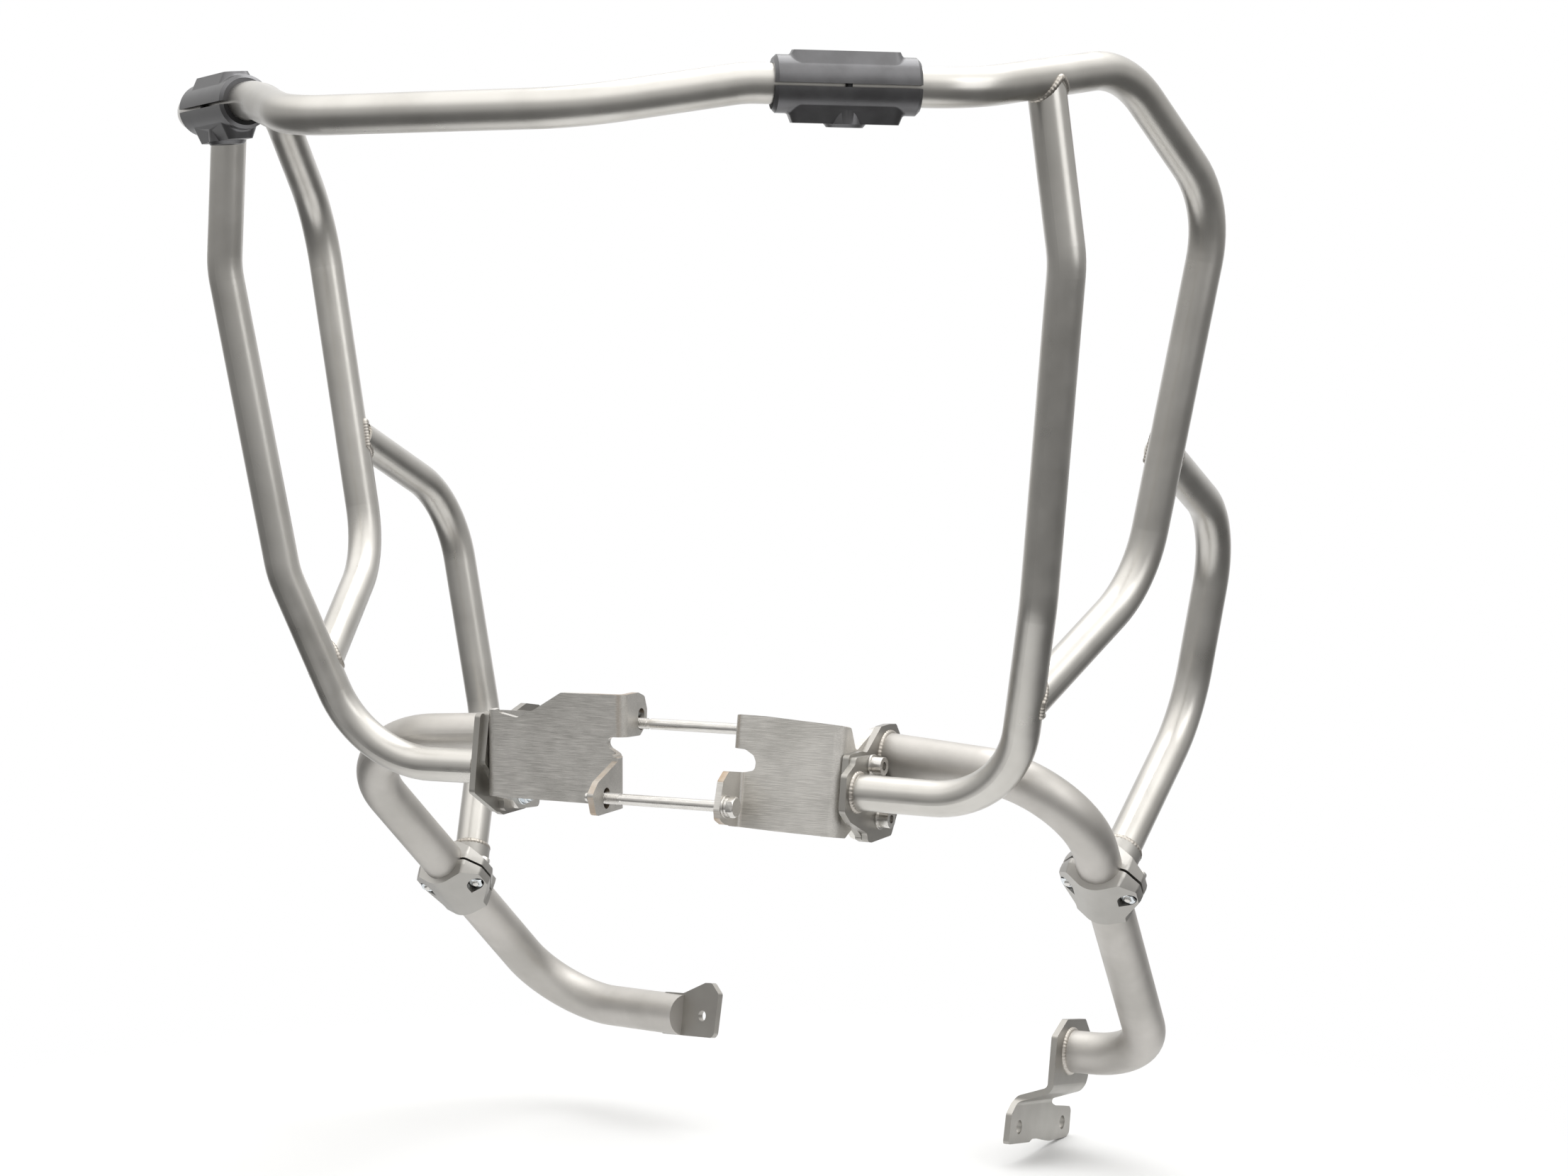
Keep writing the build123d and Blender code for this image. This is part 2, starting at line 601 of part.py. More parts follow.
def make_right_engine_bracket():
    """Folded bracket: face square to Y, flange against the plates, two ears for the engine lug."""
    mid = SHEET / 2
    face_y = RIGHT_FACE_Y + mid
    flange_x = RIGHT_BRACKET_X + mid
    lower_x = RIGHT_LOWER_EAR_X + mid
    upper_x = RIGHT_UPPER_EAR_X + mid
    low = corner_sheet([(lower_x, -12), (lower_x, face_y), (flange_x, face_y), (flange_x, 112)], FOLD_R, -20, 25.1)
    high = corner_sheet([(upper_x, 70), (upper_x, face_y), (flange_x, face_y), (flange_x, 112)], FOLD_R, 25.1, 70)
    sheet = low + high
    face = y_plate(14, 20, [
        (49, 64.8), (56.3, 65.4), (75.1, 65.1), (137, 61.4), (137, -15.8), (90.7, -14.6),
        (54, -13), (54, 24.9), (60.7, 24.9), (69.7, 26.7), (70.3, 32.5), (68.3, 37.1),
        (61.5, 41.0), (49, 42.0),
    ])
    flange = x_plate(124, 14, [
        (20, 61.4), (34.0, 60.8), (44.0, 45.0), (72.0, 62.0), (86.0, 65.0), (97.0, 66.0),
        (104.0, 60.0), (108.0, 50.0), (108.0, 22.0), (98.5, 5.0), (91.0, -10.5), (60.0, -16.0),
        (54.0, -14.5), (46.0, -9.0), (36.0, -15.8), (20, -15.8),
    ])
    lower_ear = x_plate(52, 10, [
        (2.1, 24.6), (-5.4, 17.3), (-7.1, 5.9), (-8.3, -2.7), (-6.2, -9.7), (1.9, -12.4),
        (26.3, -12.9), (26.3, 25.1),
    ])
    upper_ear = x_plate(46, 11, [
        (18.0, 42.0), (44.0, 42.0), (54.0, 47.0), (58.0, 56.0), (54.5, 65.0), (18.0, 65.0),
    ])
    bracket = sheet & (face + flange + lower_ear + upper_ear)
    bracket = bracket - x_bar(50, 64, LOWER_BOLT[0], LOWER_BOLT[1], BOLT_D + 0.8)
    bracket = bracket - x_bar(46, 60, UPPER_BOLT[0], UPPER_BOLT[1], BOLT_D + 0.8)
    return largest(cut_all(bracket, screw_holes(RIGHT_BRACKET_X - 1, RIGHT_BRACKET_X + SHEET + 1)))


def make_left_engine_bracket():
    """The left bracket, folded square and then tilted about the lower bolt."""
    mid = SHEET / 2
    face_y = LEFT_FACE_Y + mid
    flange_x = LEFT_BRACKET_X + mid
    ear_x = LEFT_EAR_X + mid
    low = corner_sheet([(ear_x, -24), (ear_x, face_y), (flange_x, face_y), (flange_x, 100)], FOLD_R, -30, 34.0)
    high = corner_sheet([(ear_x, 70), (ear_x, face_y), (flange_x, face_y), (flange_x, 100)], FOLD_R, 34.0, 80)
    sheet = low + high
    face = y_plate(16, 20, [
        (-151, 55.5), (-123.4, 50.1), (-109.4, 56.2), (-86.4, 70.0), (-41.7, 70.6), (-34, 70.6),
        (-34, 41.4), (-46.5, 39.9), (-48.3, 35.6), (-46, 32.1), (-38, 28.0), (-38, 27.0),
        (-34, 26.7), (-34, -10.0), (-59.9, -8.7), (-151, -8.4),
    ])
    flange = x_plate(-152, 14, [
        (18, 55.2), (23.7, 54.9), (81.7, 47.9), (92.0, -21.0), (89.8, -24.2), (62.4, -22.5),
        (53.8, -15.1), (30.0, -8.4), (18, -8.4),
    ])
    upper_ear = x_plate(-45, 13, [
        (20, 70.6), (46.0, 70.6), (55.0, 67.4), (58.8, 57.6), (58.1, 47.2), (48.5, 39.4), (20, 40.4),
    ])
    lower_ear = x_plate(-45, 13, [
        (28.7, 26.7), (22.3, 26.7), (-11.6, 12.7), (-19.8, 4.5), (-14.9, -10.0), (-11.8, -11.1),
        (28.7, -10.0),
    ])
    bracket = sheet & (face + flange + upper_ear + lower_ear)
    bracket = bracket - x_slot(LEFT_EAR_X, SHEET, (0, 0), 9.0, 15.0)
    bracket = bracket - x_slot(LEFT_EAR_X, SHEET, (50.2, 51.0), 9.0, 15.8)
    bracket = Rot(X=BRACKET_TILT) * bracket
    return largest(cut_all(bracket, screw_holes(LEFT_BRACKET_X - 1, LEFT_BRACKET_X + SHEET + 1)))


# Feet
def make_left_foot_plate():
    """Flat foot plate set on edge in the slotted end of the lower tube."""
    heel = on_side(LOWER_HEEL, -1)
    along = foot_direction(-1)
    plane = Plane(origin=heel, x_dir=along, z_dir=along.cross(Vector(0, 0, 1)))
    outline = [
        (LEFT_FOOT_SLOT, 16.4), (149.0, 17.2), (152.0, 18.3), (173.8, 27.4), (181.1, 27.7),
        (LEFT_FOOT_END, 19.9), (LEFT_FOOT_END - 2.2, -11.6), (LEFT_FOOT_END - 5.0, -14.7),
        (150.2, -15.8), (LEFT_FOOT_SLOT, -16.4),
    ]
    plate = prism(plane.offset(-SHEET / 2), outline, SHEET)
    hole = plane.offset(-SHEET) * Pos(*LEFT_FOOT_HOLE) * Circle(LEFT_FOOT_HOLE_D / 2)
    return plate - extrude(hole, amount=2 * SHEET)


def make_right_foot_bracket():
    """Joggled foot bracket: weld plate, sloping shelf and a lower plate with two holes."""
    upper_x = RIGHT_FOOT_FACE_X - SHEET / 2
    lower_x = RIGHT_FOOT_LOWER_X - SHEET / 2
    trace = FilletPolyline((upper_x, -139), (upper_x, -194.0), (lower_x, -203.5), (lower_x, -242), radius=6.5)
    strip = offset(trace, SHEET / 2, kind=Kind.INTERSECTION, side=Side.BOTH, closed=True)
    neck = RIGHT_FOOT_NECK_Y
    rear = neck + RIGHT_FOOT_TAIL
    sheet = extrude(Plane.XZ.offset(-rear - 10) * make_face(strip), amount=140, dir=(0, -1, 0))
    outline = [
        (312.0, -190.0), (313.4, -153.7), (332.3, -141.0), (369.0, -141.2), (380.2, -151.8),
        (381.5, -185.4), (378.7, -190.0), (neck, -194.0), (neck, -204.0), (neck + 3.5, -209.0),
        (neck + 11, -211.0), (rear - 3.4, -212.4), (rear, -215.0), (rear - 0.5, -233.0), (rear - 6.3, -236.3),
        (378.2, -237.7), (355.6, -234.7), (343.7, -234.5), (338.1, -236.8), (299.5, -236.6),
        (298.0, -235.0), (300.1, -214.2), (312.0, -203.4),
    ]
    bracket = sheet & x_plate(150, 60, outline)
    for y, z in RIGHT_FOOT_HOLES:
        bracket = bracket - x_bar(150, 180, y, z, RIGHT_FOOT_HOLE_D)
    return largest(bracket)


# Fasteners
def x_hex(x0, x1, y, z, across_flats):
    """A hexagonal prism parallel to X."""
    plane = Plane(origin=(x0, y, z), x_dir=(0, 0, 1), z_dir=(1, 0, 0))
    return extrude(plane * RegularPolygon(across_flats / math.sqrt(3), 6), amount=x1 - x0)


def x_ring(x0, x1, y, z, outer, inner):
    """A flat washer parallel to X."""
    return x_bar(x0, x1, y, z, outer) - x_bar(x0 - 1, x1 + 1, y, z, inner)


ENGINE_BOLTS = ((LOWER_BOLT, RIGHT_LOWER_EAR_X + SHEET), (UPPER_BOLT, RIGHT_UPPER_EAR_X + SHEET))


def make_engine_bolts():
    bolts = []
    for (y, z), ear_face in ENGINE_BOLTS:
        seat = ear_face + WASHER_T + SPRING_T
        shank = x_bar(seat - BOLT_LENGTH, seat, y, z, BOLT_D)
        head = x_hex(seat, seat + HEX_HEAD, y, z, HEX_AF)
        rim = x_bar(seat, seat + HEX_HEAD, y, z, 2 * HEX_AF / math.sqrt(3))
        rim = chamfer(rim.edges().sort_by(Axis.X)[-1], 1.0)
        bolts.append(shank + (head & rim))
    return bolts


def make_engine_washers():
    rings = []
    for (y, z), ear_face in ENGINE_BOLTS:
        rings.append(x_ring(ear_face, ear_face + WASHER_T, y, z, WASHER_OD, BOLT_D))
    return rings


def make_engine_spring_washers():
    rings = []
    for (y, z), ear_face in ENGINE_BOLTS:
        x0 = ear_face + WASHER_T
        ring = x_ring(x0, x0 + SPRING_T, y, z, SPRING_OD, BOLT_D)
        rings.append(ring - Pos(x0 + 1, y, z + 6) * Rot(Z=25) * Box(6, 1.0, 5))
    return rings


def flange_nut(x0, y, z, towards):
    """A flanged M8 nut whose flange sits at x0 and whose body points towards -X or +X."""
    flange = x_bar(x0, x0 + towards * 1.8, y, z, 17.6)
    body = x_hex(min(x0, x0 + towards * NUT_HEIGHT), max(x0, x0 + towards * NUT_HEIGHT), y, z, HEX_AF)
    return (flange + body) - x_bar(x0 - 20, x0 + 20, y, z, BOLT_D)


def make_engine_nuts():
    nuts = []
    for (y, z), _ in ENGINE_BOLTS:
        nuts.append(flange_nut(LEFT_EAR_X, y, z, -1))
    return nuts


def flange_sides():
    """Seat of the screws and of the nuts for each side of the motorcycle."""
    return (
        (1, RIGHT_OUTER_X + SHEET, RIGHT_BRACKET_X),
        (-1, LEFT_OUTER_X, LEFT_BRACKET_X + SHEET),
    )


def make_flange_screws():
    screws = []
    for side, outer_face, _ in flange_sides():
        for y, z in FLANGE_SCREWS:
            seat = outer_face + side * WASHER_T
            shank = x_bar(seat - side * SCREW_LENGTH, seat, y, z, BOLT_D)
            head = x_bar(seat, seat + side * SOCKET_HEAD_H, y, z, SOCKET_HEAD_D)
            top = seat + side * SOCKET_HEAD_H
            key = x_hex(min(top, top - side * 4), max(top, top - side * 4), y, z, 6.0)
            screws.append((shank + head) - key)
    return screws


def make_flange_washers():
    rings = []
    for side, outer_face, _ in flange_sides():
        for y, z in FLANGE_SCREWS:
            x0 = min(outer_face, outer_face + side * WASHER_T)
            rings.append(x_ring(x0, x0 + WASHER_T, y, z, WASHER_OD, BOLT_D))
    return rings


def make_flange_nuts():
    nuts = []
    for side, _, inner_face in flange_sides():
        for y, z in FLANGE_SCREWS:
            nuts.append(flange_nut(inner_face, y, z, -side))
    return nuts


def save(name, shape):
    export_step(shape, "parts/" + name + ".step")


def save_group(name, shapes):
    solids = []
    for shape in shapes:
        solids.extend(shape.solids())
    save(name, Compound(children=solids))


save("cross_tube", make_cross_tube())
for side, word in ((1, "right"), (-1, "left")):
    save(word + "_outer_tube", make_outer_tube(side))
    save(word + "_upright_tube", make_upright(side))
    save(word + "_rear_stay", make_stay(side))
    save(word + "_lower_tube", make_lower_tube(side))
    save(word + "_clamp_cap", clamp_plane(side) * make_clamp_cap())
    save(word + "_clamp_saddle", make_clamp_saddle(side))

upper_shell, lower_shell, liner, sleeve, pins, joint_screw = make_coupling()
place = coupling_plane()
for word, flip in (("right", False), ("left", True)):
    for name, shape in (("coupling_upper_shell", upper_shell), ("coupling_lower_shell", lower_shell),
                        ("coupling_liner", liner), ("joint_sleeve", sleeve)):
        placed = place * shape
        save(word + "_" + name, mirror(placed, about=Plane.YZ) if flip else placed)
right_pins = [place * pin for pin in pins]
right_screw = place * joint_screw
save_group("coupling_pins", right_pins + [mirror(pin, about=Plane.YZ) for pin in right_pins])
save_group("coupling_screws", [right_screw, mirror(right_screw, about=Plane.YZ)])

save_group("clamp_bolts", [clamp_plane(s) * b for s in (1, -1) for b in make_clamp_bolts()])
save_group("clamp_nuts", [clamp_plane(s) * n for s in (1, -1) for n in make_clamp_nuts()])

save("right_upright_flange", make_right_upright_flange())
save("right_lower_flange", make_right_lower_flange())
save("left_upright_flange", make_left_upright_flange())
save("left_lower_flange", make_left_lower_flange())
save("right_engine_bracket", make_right_engine_bracket())
save("left_engine_bracket", make_left_engine_bracket())
save("left_foot_plate", make_left_foot_plate())
save("right_foot_bracket", make_right_foot_bracket())

save_group("engine_bolts", make_engine_bolts())
save_group("engine_bolt_washers", make_engine_washers())
save_group("engine_bolt_spring_washers", make_engine_spring_washers())
save_group("engine_bolt_nuts", make_engine_nuts())
save_group("flange_screws", make_flange_screws())
save_group("flange_washers", make_flange_washers())
save_group("flange_nuts", make_flange_nuts())
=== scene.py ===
"""Looks of the motorcycle crash bars: finishes, weld beads, turned fasteners and the studio.

Everything is in metres, +Z up, with the origin on the axis of the lower engine bolt.
"""

import logging
import math
from dataclasses import dataclass, field
from enum import Enum
from typing import Callable

import bpy
from mathutils import Matrix, Vector
from mathutils.bvhtree import BVHTree


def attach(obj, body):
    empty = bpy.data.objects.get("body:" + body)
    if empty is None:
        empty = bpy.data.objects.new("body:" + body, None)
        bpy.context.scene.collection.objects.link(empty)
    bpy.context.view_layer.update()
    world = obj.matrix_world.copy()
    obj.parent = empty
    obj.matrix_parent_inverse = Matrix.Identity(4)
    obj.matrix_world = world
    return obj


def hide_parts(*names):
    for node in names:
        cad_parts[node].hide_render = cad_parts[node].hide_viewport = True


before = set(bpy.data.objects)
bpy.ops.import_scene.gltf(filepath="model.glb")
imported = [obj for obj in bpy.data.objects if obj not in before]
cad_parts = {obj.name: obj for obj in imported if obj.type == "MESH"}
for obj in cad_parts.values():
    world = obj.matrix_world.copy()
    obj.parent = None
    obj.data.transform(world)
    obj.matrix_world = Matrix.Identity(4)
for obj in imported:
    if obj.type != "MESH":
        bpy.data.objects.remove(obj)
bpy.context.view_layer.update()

MM = 0.001
LOG = logging.getLogger("crash_bars")
MATT_TUBE = "matt_tube"
WELD = "weld"


class Side(Enum):
    """Which half of the guard a piece belongs to, with the sign of its x."""

    RIGHT = 1
    LEFT = -1

    @property
    def word(self) -> str:
        """Prefix that this side's pieces carry in their names."""
        return self.name.lower()

    def point(self, x: float, y: float, z: float) -> Vector:
        """A point given in millimetres on the right, mirrored for the left, in metres."""
        return Vector((x * self.value, y, z)) * MM


class Slot(Enum):
    """Material slots of the record."""

    TUBE = "tube"
    PLATE = "plate"
    SHEET = "brushed_sheet"
    CLAMP = "clamp"
    COUPLING = "coupling"
    LINER = "liner"
    STAINLESS = "stainless_fastener"
    ZINC = "zinc_fastener"


def point(x: float, y: float, z: float) -> Vector:
    """A point given in millimetres, in metres."""
    return Vector((x, y, z)) * MM


class Graph:
    """A material's node tree, with short calls to add and link nodes."""

    def __init__(self, name: str) -> None:
        """Start an empty material.

        Args:
            name: Name of the material.
        """
        self.material = bpy.data.materials.new(name)
        self.material.use_nodes = True
        self.tree = self.material.node_tree
        self.tree.nodes.clear()
        self.output = self.add("ShaderNodeOutputMaterial")
        self.surface = self.add("ShaderNodeBsdfPrincipled")
        self.join(self.surface, "BSDF", self.output, "Surface")
        self.place = self.add("ShaderNodeTexCoord")

    def add(self, kind: str, settings: dict | None = None, inputs: dict | None = None) -> bpy.types.Node:
        """Add one node.

        Args:
            kind: The node's type.
            settings: Properties of the node to set.
            inputs: Values for its unlinked sockets, by socket name or number.

        Returns:
            The new node.
        """
        node = self.tree.nodes.new(kind)
        for key, value in (settings or {}).items():
            setattr(node, key, value)
        for key, value in (inputs or {}).items():
            node.inputs[key].default_value = value
        return node

    def join(self, source: bpy.types.Node, out: str | int, target: bpy.types.Node, into: str | int) -> None:
        """Link an output socket to an input socket."""
        self.tree.links.new(source.outputs[out], target.inputs[into])

    def noise(self, scale: float, detail: float, stretch: Vector | None = None) -> bpy.types.Node:
        """Noise on object coordinates.

        Args:
            scale: Features per metre.
            detail: Octaves of finer noise.
            stretch: Scale of the coordinates along x, y and z, or None for even noise.

        Returns:
            The noise node.
        """
        noise = self.add("ShaderNodeTexNoise", inputs={"Scale": scale, "Detail": detail, "Roughness": 0.55})
        if stretch is None:
            self.join(self.place, "Object", noise, "Vector")
            return noise
        mapping = self.add("ShaderNodeMapping", inputs={"Scale": stretch})
        self.join(self.place, "Object", mapping, "Vector")
        self.join(mapping, "Vector", noise, "Vector")
        return noise

    def ramp(self, source: bpy.types.Node, out: str, stops: list[tuple[float, tuple]]) -> bpy.types.Node:
        """Turn a value into a colour through a ramp with the given stops.

        Args:
            source: Node that gives the value.
            out: Its output socket.
            stops: Pairs of position and colour, in order.

        Returns:
            The ramp node.
        """
        ramp = self.add("ShaderNodeValToRGB")
        elements = ramp.color_ramp.elements
        elements[0].position = stops[0][0]
        elements[0].color = (*stops[0][1], 1.0)
        elements[1].position = stops[-1][0]
        elements[1].color = (*stops[-1][1], 1.0)
        for place, colour in stops[1:-1]:
            element = elements.new(place)
            element.color = (*colour, 1.0)
        self.join(source, out, ramp, "Fac")
        return ramp

    def span(self, source: bpy.types.Node, out: str | int, low: float, high: float,
             start: float = 0.3, end: float = 0.7, smooth: bool = False) -> bpy.types.Node:
        """Map a value from start..end to low..high."""
        settings = {"interpolation_type": "SMOOTHSTEP" if smooth else "LINEAR"}
        node = self.add("ShaderNodeMapRange", settings,
                        {"From Min": start, "From Max": end, "To Min": low, "To Max": high})
        self.join(source, out, node, "Value")
        return node

    def math(self, operation: str, a: tuple, b: tuple | float) -> bpy.types.Node:
        """Combine one output with another output or a number."""
        node = self.add("ShaderNodeMath", {"operation": operation})
        self.join(a[0], a[1], node, 0)
        if isinstance(b, tuple):
            self.join(b[0], b[1], node, 1)
        else:
            node.inputs[1].default_value = b
        return node

    def bump(self, source: bpy.types.Node, out: str, depth: float, strength: float,
             below: bpy.types.Node | None = None) -> bpy.types.Node:
        """Raise the surface by a height pattern, on top of another bump if one is given."""
        bump = self.add("ShaderNodeBump", inputs={"Distance": depth, "Strength": strength})
        self.join(source, out, bump, "Height")
        if below is not None:
            self.join(below, "Normal", bump, "Normal")
        return bump


@dataclass(frozen=True)
class Blasted:
    """Bead-blasted stainless: even satin with soft, slightly warm patches."""

    name: str
    light: tuple[float, float, float] = (0.64, 0.625, 0.595)
    dark: tuple[float, float, float] = (0.55, 0.535, 0.505)
    rough: tuple[float, float] = (0.27, 0.35)
    grain: float = 2600.0
    grain_depth: float = 0.05 * MM
    patch_scale: float = 14.0
    cloud_scale: float = 55.0

    def material(self) -> bpy.types.Material:
        """Build the material."""
        g = Graph(self.name)
        g.surface.inputs["Metallic"].default_value = 1.0
        patches = g.noise(self.patch_scale, 4.0)
        colour = g.ramp(patches, "Fac", [(0.34, self.dark), (0.62, self.light)])
        g.join(colour, "Color", g.surface, "Base Color")
        clouds = g.noise(self.cloud_scale, 3.0)
        rough = g.span(clouds, "Fac", *self.rough)
        g.join(rough, "Result", g.surface, "Roughness")
        grain = g.noise(self.grain, 2.0)
        bump = g.bump(grain, "Fac", self.grain_depth, 0.5)
        g.join(bump, "Normal", g.surface, "Normal")
        return g.material


@dataclass(frozen=True)
class BrushedSheet:
    """Brushed stainless sheet with lines along x and a brown heat tint on the cut edges of its ears."""

    name: str
    light: tuple[float, float, float] = (0.80, 0.78, 0.745)
    dark: tuple[float, float, float] = (0.58, 0.565, 0.535)
    tint: tuple[float, float, float] = (0.34, 0.24, 0.15)
    ear_x: tuple[float, float] = (75.0 * MM, 56.0 * MM)
    strokes: tuple[float, float, float] = (70.0, 1500.0, 1900.0)
    fine_strokes: tuple[float, float, float] = (160.0, 3600.0, 4200.0)
    stroke_depth: float = 0.16 * MM
    fine_depth: float = 0.08 * MM
    rough: tuple[float, float] = (0.34, 0.5)

    def material(self) -> bpy.types.Material:
        """Build the material."""
        g = Graph(self.name)
        g.surface.inputs["Metallic"].default_value = 1.0
        lines = g.noise(1.0, 4.0, Vector(self.strokes))
        fine = g.noise(1.0, 2.0, Vector(self.fine_strokes))
        patches = g.noise(30.0, 3.0)
        mixed = g.math("ADD", (lines, "Fac"), (patches, "Fac"))
        halved = g.math("MULTIPLY", (mixed, 0), 0.5)
        steel = g.ramp(halved, "Value", [(0.38, self.dark), (0.62, self.light)])
        geometry = g.add("ShaderNodeNewGeometry")
        normal = g.add("ShaderNodeSeparateXYZ")
        g.join(geometry, "Normal", normal, "Vector")
        across = g.math("ABSOLUTE", (normal, "X"), 0.0)
        facing = g.math("ABSOLUTE", (normal, "Y"), 0.0)
        edge = g.span(across, 0, 1.0, 0.0, 0.25, 0.75)
        rim = g.span(facing, 0, 1.0, 0.0, 0.90, 0.985)
        cut = g.math("MULTIPLY", (edge, "Result"), (rim, "Result"))
        where = g.add("ShaderNodeSeparateXYZ")
        g.join(g.place, "Object", where, "Vector")
        out = g.math("ABSOLUTE", (where, "X"), 0.0)
        ear = g.span(out, 0, 0.0, 1.0, *self.ear_x)
        warm = g.math("MULTIPLY", (cut, 0), (ear, "Result"))
        blotch = g.span(patches, "Fac", 0.25, 1.0)
        amount = g.math("MULTIPLY", (warm, 0), (blotch, "Result"))
        mix = g.add("ShaderNodeMix", {"data_type": "RGBA"})
        g.join(amount, 0, mix, 0)
        g.join(steel, "Color", mix, 6)
        mix.inputs[7].default_value = (*self.tint, 1.0)
        g.join(mix, 2, g.surface, "Base Color")
        rough = g.span(lines, "Fac", *self.rough)
        g.join(rough, "Result", g.surface, "Roughness")
        first = g.bump(lines, "Fac", self.stroke_depth, 0.7)
        second = g.bump(fine, "Fac", self.fine_depth, 0.6, first)
        g.join(second, "Normal", g.surface, "Normal")
        return g.material


@dataclass(frozen=True)
class SatinCoat:
    """Dark grey satin coat of the couplings, or the matt black of their liners, which also paints shade
    onto the coupling pins.
    """

    name: str
    light: tuple[float, float, float] = (0.175, 0.175, 0.182)
    dark: tuple[float, float, float] = (0.145, 0.145, 0.15)
    metallic: float = 0.9
    rough: tuple[float, float] = (0.30, 0.38)
    grain: float = 1900.0
    grain_depth: float = 0.06 * MM

    def material(self) -> bpy.types.Material:
        """Build the material."""
        g = Graph(self.name)
        g.surface.inputs["Metallic"].default_value = self.metallic
        patches = g.noise(60.0, 4.0)
        colour = g.ramp(patches, "Fac", [(0.35, self.dark), (0.65, self.light)])
        g.join(colour, "Color", g.surface, "Base Color")
        rough = g.span(patches, "Fac", *self.rough)
        g.join(rough, "Result", g.surface, "Roughness")
        grain = g.noise(self.grain, 2.0)
        bump = g.bump(grain, "Fac", self.grain_depth, 0.45)
        g.join(bump, "Normal", g.surface, "Normal")
        return g.material


@dataclass(frozen=True)
class BrightMetal:
    """Bright turned or plated fastener metal, with fine lines along x."""

    name: str
    light: tuple[float, float, float] = (0.74, 0.725, 0.70)
    dark: tuple[float, float, float] = (0.62, 0.605, 0.58)
    rough: tuple[float, float] = (0.2, 0.3)
    turning: tuple[float, float, float] = (120.0, 1600.0, 1600.0)
    turning_depth: float = 0.03 * MM

    def material(self) -> bpy.types.Material:
        """Build the material."""
        g = Graph(self.name)
        g.surface.inputs["Metallic"].default_value = 1.0
        lines = g.noise(1.0, 3.0, Vector(self.turning))
        colour = g.ramp(lines, "Fac", [(0.36, self.dark), (0.64, self.light)])
        g.join(colour, "Color", g.surface, "Base Color")
        clouds = g.noise(140.0, 3.0)
        rough = g.span(clouds, "Fac", *self.rough)
        g.join(rough, "Result", g.surface, "Roughness")
        bump = g.bump(lines, "Fac", self.turning_depth, 0.3)
        g.join(bump, "Normal", g.surface, "Normal")
        return g.material


@dataclass
class Finishes:
    """One material for each slot, one for the matt lower tubes and one for the weld beads."""

    made: dict[str, bpy.types.Material] = field(default_factory=dict)

    def build(self) -> None:
        """Make every material once."""
        self.made[Slot.TUBE.value] = Blasted("blasted_tube").material()
        # The plates are the tubes' blasted stainless set darker. The darker colour is painted shade for
        # plates that face the dim front.
        self.made[Slot.PLATE.value] = Blasted(
            "blasted_plate_with_painted_shade", (0.42, 0.41, 0.385), (0.36, 0.345, 0.325), (0.36, 0.44)).material()
        self.made[MATT_TUBE] = Blasted(
            "matt_tube", (0.60, 0.58, 0.555), (0.50, 0.485, 0.46), (0.46, 0.54)).material()
        self.made[Slot.SHEET.value] = BrushedSheet("brushed_sheet").material()
        self.made[Slot.CLAMP.value] = Blasted(
            "blasted_clamp", (0.47, 0.46, 0.44), (0.41, 0.40, 0.38), (0.40, 0.48)).material()
        self.made[Slot.COUPLING.value] = SatinCoat("satin_coupling").material()
        # The matt black is the liners' own rubber. On the coupling pins it is painted shade.
        self.made[Slot.LINER.value] = SatinCoat(
            "black_liner_and_pin_shade", (0.016, 0.016, 0.017), (0.010, 0.010, 0.011), 0.0, (0.7, 0.85)).material()
        self.made[Slot.STAINLESS.value] = BrightMetal("bright_stainless").material()
        self.made[Slot.ZINC.value] = BrightMetal(
            "bright_zinc", (0.78, 0.82, 0.85), (0.66, 0.70, 0.73), (0.16, 0.26)).material()
        self.made[WELD] = Blasted(
            "weld_bead", (0.58, 0.55, 0.51), (0.42, 0.39, 0.35), (0.32, 0.42), 1800.0, 0.1 * MM).material()

    def paint(self, thing: bpy.types.Object, key: str) -> None:
        """Give a piece one of the materials.

        Args:
            thing: The object to paint.
            key: A slot's name, MATT_TUBE or WELD.
        """
        thing.data.materials.clear()
        thing.data.materials.append(self.made[key])


